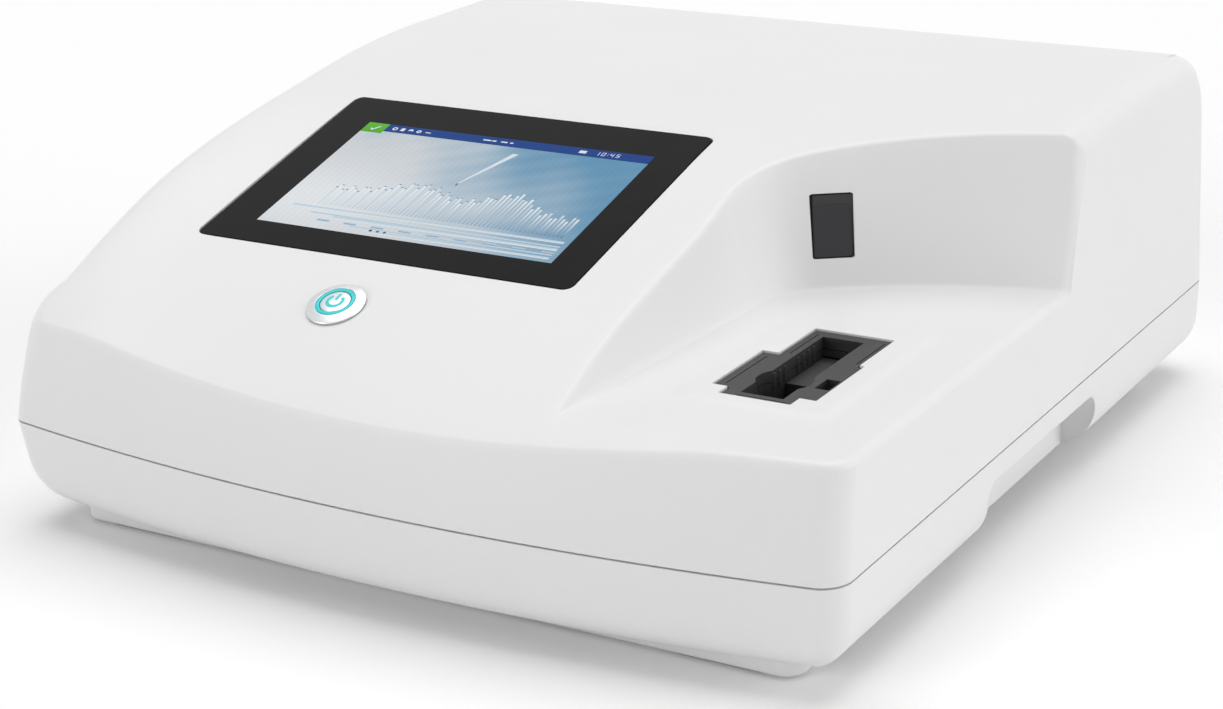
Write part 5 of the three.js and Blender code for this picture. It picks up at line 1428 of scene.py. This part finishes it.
class PowerButton:
    """A satin metal push button with a lit ring and a lit power sign."""

    # radius and height of each profile's points; the cap's upper end is a dome that rises by CAP_RISE
    BEZEL = ((6.25, -14.0), (7.8, -14.0), (7.8, 0.3), (9.0, 0.3), (9.2, 0.42), (9.2, 0.74), (9.1, 0.9),
             (8.9, 1.0), (8.0, 1.22), (7.0, 1.5), (6.4, 1.66), (6.3, 1.66), (6.25, 1.6), (6.25, -14.0))
    RING = ((4.95, -3.5), (5.95, -3.5), (5.95, 1.62), (5.85, 1.7), (5.05, 1.72), (4.95, 1.66), (4.95, -3.5))
    SEAT = ((5.95, 1.2), (6.25, 1.2), (6.25, 1.35), (5.95, 1.35), (5.95, 1.2))
    CAP = ((0, -12.5), (2, -12.5), (2, -2.3), (4.65, -2.3), (4.65, 1.4))
    CAP_RADIUS, CAP_LEVEL, CAP_RISE = 4.65, 1.5, 0.42
    # the sign: how far it stands off the dome, its thickness, the radii of its arc and the rows of its bar
    SIGN_OFF, SIGN_THICK = 0.03, 0.06
    SIGN_RADII, SIGN_START, SIGN_END = (1.9, 2.25, 2.6, 2.97), math.radians(130), math.radians(410)
    SIGN_BAR_X, SIGN_BAR_Y = (-0.5, -0.17, 0.17, 0.5), (0.5, 3.3)

    def __init__(self, display: Display) -> None:
        """Takes the button's place from the display's frame."""
        self.place = Matrix.Translation(Vector(display.button_place)) \
            @ Matrix.Rotation(display.button_tilt, 4, "X")

    def _lathe(self, name: str, profile: Sequence[tuple[float, float]], material: Material,
               slot: Slot, body: Body = Body.CASE, stands_for: Sequence[str] = ()) -> None:
        """Turns one part of the button and sets it on the brow."""
        points, faces = turned(profile, 128)
        finish_mesh(put_mesh(name, moved(points, self.place), faces, material, slot, body, stands_for), 40)

    def build(self, metal: Material, lit: Material) -> None:
        """Makes the bezel, the lit ring, the cap and its sign."""
        self._lathe("button_bezel", self.BEZEL, metal, Slot.STEEL, stands_for=["power_button_bezel"])
        self._lathe("button_ring", self.RING, lit, Slot.TEAL, stands_for=["power_button_ring"])
        self._lathe("button_ring_seat", self.SEAT, lit, Slot.TEAL)
        dome = [(self.CAP_RADIUS * math.sin(a), self.CAP_LEVEL + self.CAP_RISE * math.cos(a))
                for a in np.linspace(math.pi / 2, 0, 14)]
        self._lathe("button_cap", [*self.CAP, *dome[1:-1], (0, self.CAP_LEVEL + self.CAP_RISE)], metal,
                    Slot.STEEL, Body.BUTTON, ["power_button_cap"])
        self._sign(lit)

    def _sign(self, lit: Material) -> None:
        """The power sign, a broken ring and a bar laid on the cap's dome."""
        angle = np.linspace(self.SIGN_START, self.SIGN_END, 60)
        ring = [np.stack([r * np.cos(angle), r * np.sin(angle)], -1) for r in self.SIGN_RADII]
        bar = [np.stack([np.full(12, x), np.linspace(*self.SIGN_BAR_Y, 12)], -1) for x in self.SIGN_BAR_X]
        sign = Gathered()
        for strip in (ring, bar):
            flat = np.concatenate(strip)
            share = np.clip(np.hypot(flat[:, 0], flat[:, 1]) / self.CAP_RADIUS, 0, 1)
            level = self.CAP_LEVEL + self.CAP_RISE * np.sqrt(1 - share ** 2) + self.SIGN_OFF
            sign.take(at_level(flat, level), grid_faces(4, len(strip[0]), False))
        piece = put_mesh("button_sign", moved(sign.points, self.place), sign.faces, lit, Slot.TEAL,
                         Body.BUTTON)
        fatten = piece.modifiers.new("body", "SOLIDIFY")
        fatten.thickness, fatten.offset = self.SIGN_THICK * MM, 0.0
        finish_mesh(piece, 40)


# Finishes

class Surface:
    """A new material with its node tree opened, and what a pattern can do to it."""

    def __init__(self, name: str) -> None:
        """Makes the material."""
        self.material = bpy.data.materials.new(name)
        self.material.use_nodes = True
        self.tree = self.material.node_tree
        self.shader = self.tree.nodes["Principled BSDF"]
        self.place = add_node(self.tree, "TexCoord").outputs["Object"]

    def feed(self, name: str, source: Socket) -> None:
        """Links one of the shader's inputs."""
        self.tree.links.new(source, self.shader.inputs[name])

    def settle(self, **values: float | Sequence[float]) -> Material:
        """Sets uniform values on the shader's own sockets, named with underscores, and gives the material."""
        for name, value in values.items():
            self.shader.inputs[name.replace("_", " ")].default_value = value
        return self.material

    def tint(self, pattern: Socket, colour: str, shares: tuple[float, float],
             reach: tuple[float, float] = (0.0, 1.0)) -> Socket:
        """Lets a pattern take the base colour from one share of its brightness to another.

        Args:
            pattern: The pattern's output.
            colour: The full colour as sRGB hex.
            shares: Brightness where the pattern is low and where it is high.
            reach: The pattern's own values at which these are met.

        Returns:
            The varied colour.
        """
        red, green, blue, _ = linear(colour)
        ramp = add_node(self.tree, "ValToRGB", {0: pattern})
        for end, at, share in zip(ramp.color_ramp.elements, reach, shares):
            end.position, end.color = at, (red * share, green * share, blue * share, 1)
        self.feed("Base Color", ramp.outputs["Color"])
        return ramp.outputs["Color"]

    def roughen(self, pattern: Socket, low: float, high: float,
                reach: tuple[float, float] = (0.0, 1.0)) -> None:
        """Lets a pattern take the roughness from low to high."""
        rough = add_node(self.tree, "MapRange", {0: pattern, 1: reach[0], 2: reach[1], 3: low, 4: high})
        self.feed("Roughness", rough.outputs[0])

    def relieve(self, edge_mm: float, pattern: Socket | None = None,
                depth_mm: float = 0.0) -> None:
        """Rounds the light on edges, and lays a pattern's relief over it if one is given."""
        soft = add_node(self.tree, "Bevel", {"Radius": edge_mm * MM}, samples=4).outputs["Normal"]
        if pattern is not None:
            soft = add_node(self.tree, "Bump", {"Height": pattern, "Distance": depth_mm * MM,
                                                "Normal": soft}).outputs["Normal"]
        self.feed("Normal", soft)


@dataclass(frozen=True)
class Moulded:
    """Injection-moulded plastic: a fine spark-eroded grain, a faint cloudiness and softly lit edges."""

    name: str
    colour: str
    roughness: float
    grain_mm: float = 0.9
    grain_depth_mm: float = 0.012
    cloud: float = 0.02
    edge_mm: float = 0.4
    cloud_mm: float = 60.0
    cloud_reach: tuple[float, float] = (0.3, 0.7)
    rough_span: tuple[float, float] = (-0.05, 0.07)
    ior: float = 1.53

    def build(self) -> Material:
        """Makes the material; the grain is drawn coarser than real so that it shows."""
        surface = Surface(self.name)
        grain, clouds = (add_node(surface.tree, "TexNoise", {"Vector": surface.place, "Detail": detail,
                                                             "Scale": 1 / (size * MM)}).outputs["Fac"]
                         for size, detail in ((self.grain_mm, 3.0), (self.cloud_mm, 4.0)))
        surface.tint(clouds, self.colour, (1 - self.cloud, 1), self.cloud_reach)
        surface.roughen(grain, *(self.roughness + more for more in self.rough_span))
        surface.relieve(self.edge_mm, grain, self.grain_depth_mm)
        return surface.settle(IOR=self.ior)


@dataclass(frozen=True)
class Metal:
    """Machined or plated metal: fine brushing lines across a reflective base."""

    name: str
    colour: str
    roughness: float
    line_mm: float = 0.35
    line_depth_mm: float = 0.006
    stretch: float = 0.06
    edge_mm: float = 0.2
    line_shade: float = 0.9
    line_reach: tuple[float, float] = (0.35, 0.65)
    rough_span: tuple[float, float] = (-0.06, 0.08)

    def build(self) -> Material:
        """Makes the material; the lines run along Y and are drawn coarser than real so that they show."""
        surface = Surface(self.name)
        along = add_node(surface.tree, "Mapping", {"Vector": surface.place,
                                                   "Scale": (1.0, self.stretch, 1.0)})
        lines = add_node(surface.tree, "TexNoise", {"Vector": along.outputs[0], "Detail": 2.0,
                                                    "Scale": 1 / (self.line_mm * MM)}).outputs["Fac"]
        surface.tint(lines, self.colour, (self.line_shade, 1), self.line_reach)
        surface.roughen(lines, *(self.roughness + more for more in self.rough_span))
        surface.relieve(self.edge_mm, lines, self.line_depth_mm)
        return surface.settle(Metallic=1.0)


@dataclass(frozen=True)
class Lit:
    """Translucent plastic lit from behind, a little unevenly."""

    name: str
    colour: str
    strength: float
    patch_mm: float = 2.5
    patch_shade: float = 0.85
    roughness: float = 0.35

    def build(self) -> Material:
        """Makes the material."""
        surface = Surface(self.name)
        patches = add_node(surface.tree, "TexNoise", {"Vector": surface.place, "Detail": 2.0,
                                                      "Scale": 1 / (self.patch_mm * MM)})
        surface.feed("Emission Color", surface.tint(patches.outputs["Fac"], self.colour,
                                                    (self.patch_shade, 1)))
        return surface.settle(Emission_Strength=self.strength, Roughness=self.roughness)


@dataclass(frozen=True)
class DarkGlass:
    """Polished glass printed dark behind: a sharp reflection with faint smears."""

    name: str
    colour: str
    roughness: float = 0.12
    reflect: float = 0.05
    smear_mm: float = 18.0
    edge_mm: float = 0.25
    smear_shade: float = 1.15
    smear_rough: float = 0.1
    smear_reach: tuple[float, float] = (0.35, 0.75)
    ior: float = 1.5

    def build(self) -> Material:
        """Makes the material."""
        surface = Surface(self.name)
        smears = add_node(surface.tree, "TexNoise", {"Vector": surface.place, "Detail": 5.0,
                                                     "Scale": 1 / (self.smear_mm * MM),
                                                     "Distortion": 1.5}).outputs["Fac"]
        surface.tint(smears, self.colour, (1, self.smear_shade))
        surface.roughen(smears, self.roughness, self.roughness + self.smear_rough, self.smear_reach)
        surface.relieve(self.edge_mm)
        return surface.settle(IOR=self.ior, Specular_IOR_Level=self.reflect)


@dataclass(frozen=True)
class Picture:
    """The lit screen: colours kept on the mesh, fine pixel rows and a glass-like sheen."""

    name: str
    strength: float = 0.86
    row_mm: float = 1.1
    row_shade: float = 0.96
    off_colour: str = "#0A0C10"
    roughness: float = 0.15
    reflect: float = 0.05

    def build(self) -> Material:
        """Makes the material; the pixel rows are drawn coarser than real so that they show."""
        surface = Surface(self.name)
        colour = add_node(surface.tree, "Attribute", attribute_name="tint").outputs["Color"]
        rows = add_node(surface.tree, "TexWave", {"Vector": surface.place, "Distortion": 0.0,
                                                  "Scale": 1 / (self.row_mm * MM * 2 * math.pi)},
                        bands_direction="X")
        dim = add_node(surface.tree, "MapRange", {0: rows.outputs["Fac"], 3: self.row_shade, 4: 1.0})
        shown = add_node(surface.tree, "VectorMath", {0: colour, 1: dim.outputs[0]}, operation="MULTIPLY")
        surface.feed("Emission Color", shown.outputs[0])
        return surface.settle(Base_Color=linear(self.off_colour), Emission_Strength=self.strength,
                              Roughness=self.roughness, Specular_IOR_Level=self.reflect)


FINISHES: dict[Slot, Any] = {
    # moulded ABS: an even off-white, satin, with edges that catch a soft line of light
    Slot.SHELL: Moulded("abs_off_white_moulded", "#E6E6E6", 0.45),
    # moulded nylon: near-black grey and matt, a little uneven, with small crisp edges
    Slot.DARK: Moulded("nylon_dark_grey_moulded", "#232324", 0.6, 0.5, 0.02, 0.12, 0.12),
    # back-printed cover glass: flat black under a clean surface that mirrors only faintly
    Slot.GLASS: DarkGlass("glass_back_printed", "#101011"),
    # display panel with its backlight: an even pale blue glow
    Slot.SCREEN: Lit("lcd_panel_backlit", "#8FB9D8", 0.4),
    # satin turned stainless steel: soft bright and dark bands that follow the studio
    Slot.STEEL: Metal("stainless_satin_turned", "#D3D5D7", 0.3),
    # tinted polycarbonate lit from behind: teal that seems to shine by itself
    Slot.TEAL: Lit("polycarbonate_teal_lit", "#1FB9BC", 0.35),
    # moulded rubber: dull black with no clear highlight
    Slot.RUBBER: Moulded("rubber_black_moulded", "#2A2A2C", 0.8, 0.5, 0.03, 0.15),
    # milled aluminium: mid grey with cutter lines and a broad highlight
    Slot.ALUMINIUM: Metal("aluminium_milled", "#B4B7BA", 0.38, 0.5, 0.01),
    # moulded black ABS: a dark satin that keeps a weak highlight
    Slot.BLACK: Moulded("abs_black_moulded", "#1D1E20", 0.5, 0.6, 0.02, 0.15),
    # polished optical glass: pale, with a small sharp highlight
    Slot.OPTIC: DarkGlass("optical_glass_polished", "#CFE0E6", 0.05),
    # front-coated mirror: a nearly perfect reflection
    Slot.MIRROR: Metal("mirror_front_coated", "#E6EAEC", 0.08, 0.4, 0.0005),
    # glass epoxy under solder mask: a deep glossy green
    Slot.BOARD: Moulded("glass_epoxy_green_mask", "#1F5B3A", 0.35, 1.2, 0.03, 0.2),
    # shrink film: a smooth blue skin with long highlights
    Slot.BATTERY: Moulded("pvc_shrink_film_blue", "#3D6EA5", 0.3, 2.0, 0.04, 0.1),
    # zinc-plated steel: a cool bright grey, finely streaked
    Slot.ZINC: Metal("steel_zinc_plated", "#C9CBCF", 0.33, 0.4, 0.006),
    # cut brass: a warm yellow with short bright lines
    Slot.BRASS: Metal("brass_cut", "#C2A25A", 0.32, 0.3, 0.008),
}
# smoked acrylic: a dark grey window that is duller than the cover glass and shows the bay's light
SMOKED = DarkGlass("acrylic_smoked", "#3B3B3D", 0.4, 0.12)
# lit display page: clear colours of their own light, with next to no reflection
PAGE = Picture("lcd_picture_lit")


class Studio:
    """The photograph's camera, a pale floor and soft light."""

    POSITION = (0.39398, -0.67641, 0.30590)
    RIGHT = (0.862781, 0.504830, -0.027477)
    DOWN = (0.144611, -0.298496, -0.943392)
    AHEAD = (-0.484454, 0.809967, -0.330541)
    SENSOR, LENS, CLIP = 36.0, 74.403, (0.01, 50)
    # half width of the floor in millimetres, its paper's colour and the glow that whitens it to the eye
    FLOOR, PAPER, GLOW = 6000, linear("#F6F6F6"), 0.07
    # the sky as light, and as seen by the camera or in a reflection
    SKY, SEEN_SKY = 0.28, 1.0
    # each lamp's way towards the light, its strength and its spread in degrees
    LAMPS = (("light_top", (-0.08, 0.22, 0.97), 1.66, 56), ("light_right", (0.93, 0.2, 0.3), 1.32, 50),
             ("light_front", (-0.5, -0.82, 0.24), 0.95, 34))
    WHITE, NOTHING = (1, 1, 1, 1), (0, 0, 0, 1)

    def camera(self) -> None:
        """Places the solved camera."""
        data = bpy.data.cameras.new("camera")
        data.sensor_fit, data.sensor_width, data.lens = "HORIZONTAL", self.SENSOR, self.LENS
        data.clip_start, data.clip_end = self.CLIP
        eye = linked("camera", data)
        columns = [Vector(self.RIGHT), -Vector(self.DOWN), -Vector(self.AHEAD)]
        eye.matrix_world = Matrix.Translation(self.POSITION) @ Matrix(columns).transposed().to_4x4()
        bpy.context.scene.camera = eye

    @staticmethod
    def _seen_or_not(tree: Tree, unseen: bpy.types.Node,
                     seen: bpy.types.Node) -> Socket:
        """One light for rays from the camera, a reflection or through glass, and another for the rest."""
        path = add_node(tree, "LightPath").outputs
        both = add_node(tree, "Math", {0: path["Is Camera Ray"], 1: path["Is Glossy Ray"]},
                        operation="MAXIMUM")
        share = add_node(tree, "Math", {0: both.outputs[0], 1: path["Is Transmission Ray"]},
                         operation="MAXIMUM")
        return add_node(tree, "MixShader", {0: share.outputs[0], 1: unseen.outputs[0],
                                            2: seen.outputs[0]}).outputs[0]

    def floor(self) -> None:
        """A pale floor that keeps the object's shadow and shows white to the camera."""
        material = bpy.data.materials.new("studio_floor")
        material.use_nodes = True
        tree = material.node_tree
        tree.nodes.clear()
        paper = add_node(tree, "BsdfDiffuse", {"Color": self.PAPER})
        glow = add_node(tree, "Emission", {"Color": self.WHITE, "Strength": self.GLOW})
        dark = add_node(tree, "Emission", {"Color": self.NOTHING, "Strength": 0.0})
        both = add_node(tree, "AddShader", {0: paper.outputs[0], 1: self._seen_or_not(tree, dark, glow)})
        add_node(tree, "OutputMaterial", {"Surface": both.outputs[0]})
        x, y = np.meshgrid(*[np.linspace(-self.FLOOR, self.FLOOR, 9)] * 2)
        mesh = mesh_of("studio_floor", np.column_stack([x.ravel(), y.ravel(), np.zeros(x.size)]),
                       grid_faces(9, 9, False))
        mesh.materials.append(material)
        ground = linked("studio_floor", mesh)

    def lights(self) -> None:
        """Three very soft lights from above, the right and low in front, and an even sky."""
        for name, way, watts, spread in self.LAMPS:
            data = bpy.data.lights.new(name, "SUN")
            data.energy, data.angle = watts, math.radians(spread)
            linked(name, data).rotation_euler = (-Vector(way)).to_track_quat("-Z", "Y").to_euler()
        world = bpy.data.worlds.new("studio_sky")
        world.use_nodes = True
        tree = world.node_tree
        tree.nodes.clear()
        sky, white = (add_node(tree, "Background", {"Color": self.WHITE, "Strength": strength})
                      for strength in (self.SKY, self.SEEN_SKY))
        add_node(tree, "OutputWorld", {"Surface": self._seen_or_not(tree, sky, white)})
        bpy.context.scene.world = world

    def build(self) -> None:
        """Sets the studio up."""
        bpy.context.scene.view_settings.view_transform = "Standard"
        self.camera()
        self.floor()
        self.lights()


def dress_nodes(finishes: Mapping[Slot, Material]) -> None:
    """Gives every CAD node that stays its slot's finish."""
    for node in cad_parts.values():
        for place in node.material_slots:
            place.material = finishes[Slot(place.material.name.split(".")[0])]


def main() -> None:
    """Builds every piece in order."""
    logging.basicConfig(level=logging.INFO, format="%(message)s")
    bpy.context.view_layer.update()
    finishes = {slot: finish.build() for slot, finish in FINISHES.items()}
    dress_nodes(finishes)
    form = CaseForm()
    skin = Skin(form)
    display = Display(form)
    holder = CellHolder()
    window = ReaderWindow()
    pieces = [UpperHousing(skin, display, holder).build(window, finishes[Slot.SHELL])]
    base = LowerHousing(skin)
    pieces += [base.build(finishes[Slot.SHELL]), *base.bars(finishes[Slot.SHELL]),
               base.tongue(finishes[Slot.BLACK])]
    pieces += [window.build(skin, SMOKED.build()), display.glass(finishes[Slot.GLASS]),
               ScreenPicture(display).build(PAGE.build())]
    pieces += holder.build(finishes[Slot.DARK])
    PowerButton(display).build(finishes[Slot.STEEL], finishes[Slot.TEAL])
    for piece in pieces:
        log.info("%s: %d faces", piece.name, len(piece.data.polygons))
    Studio().build()


if __name__ == "__main__":
    main()
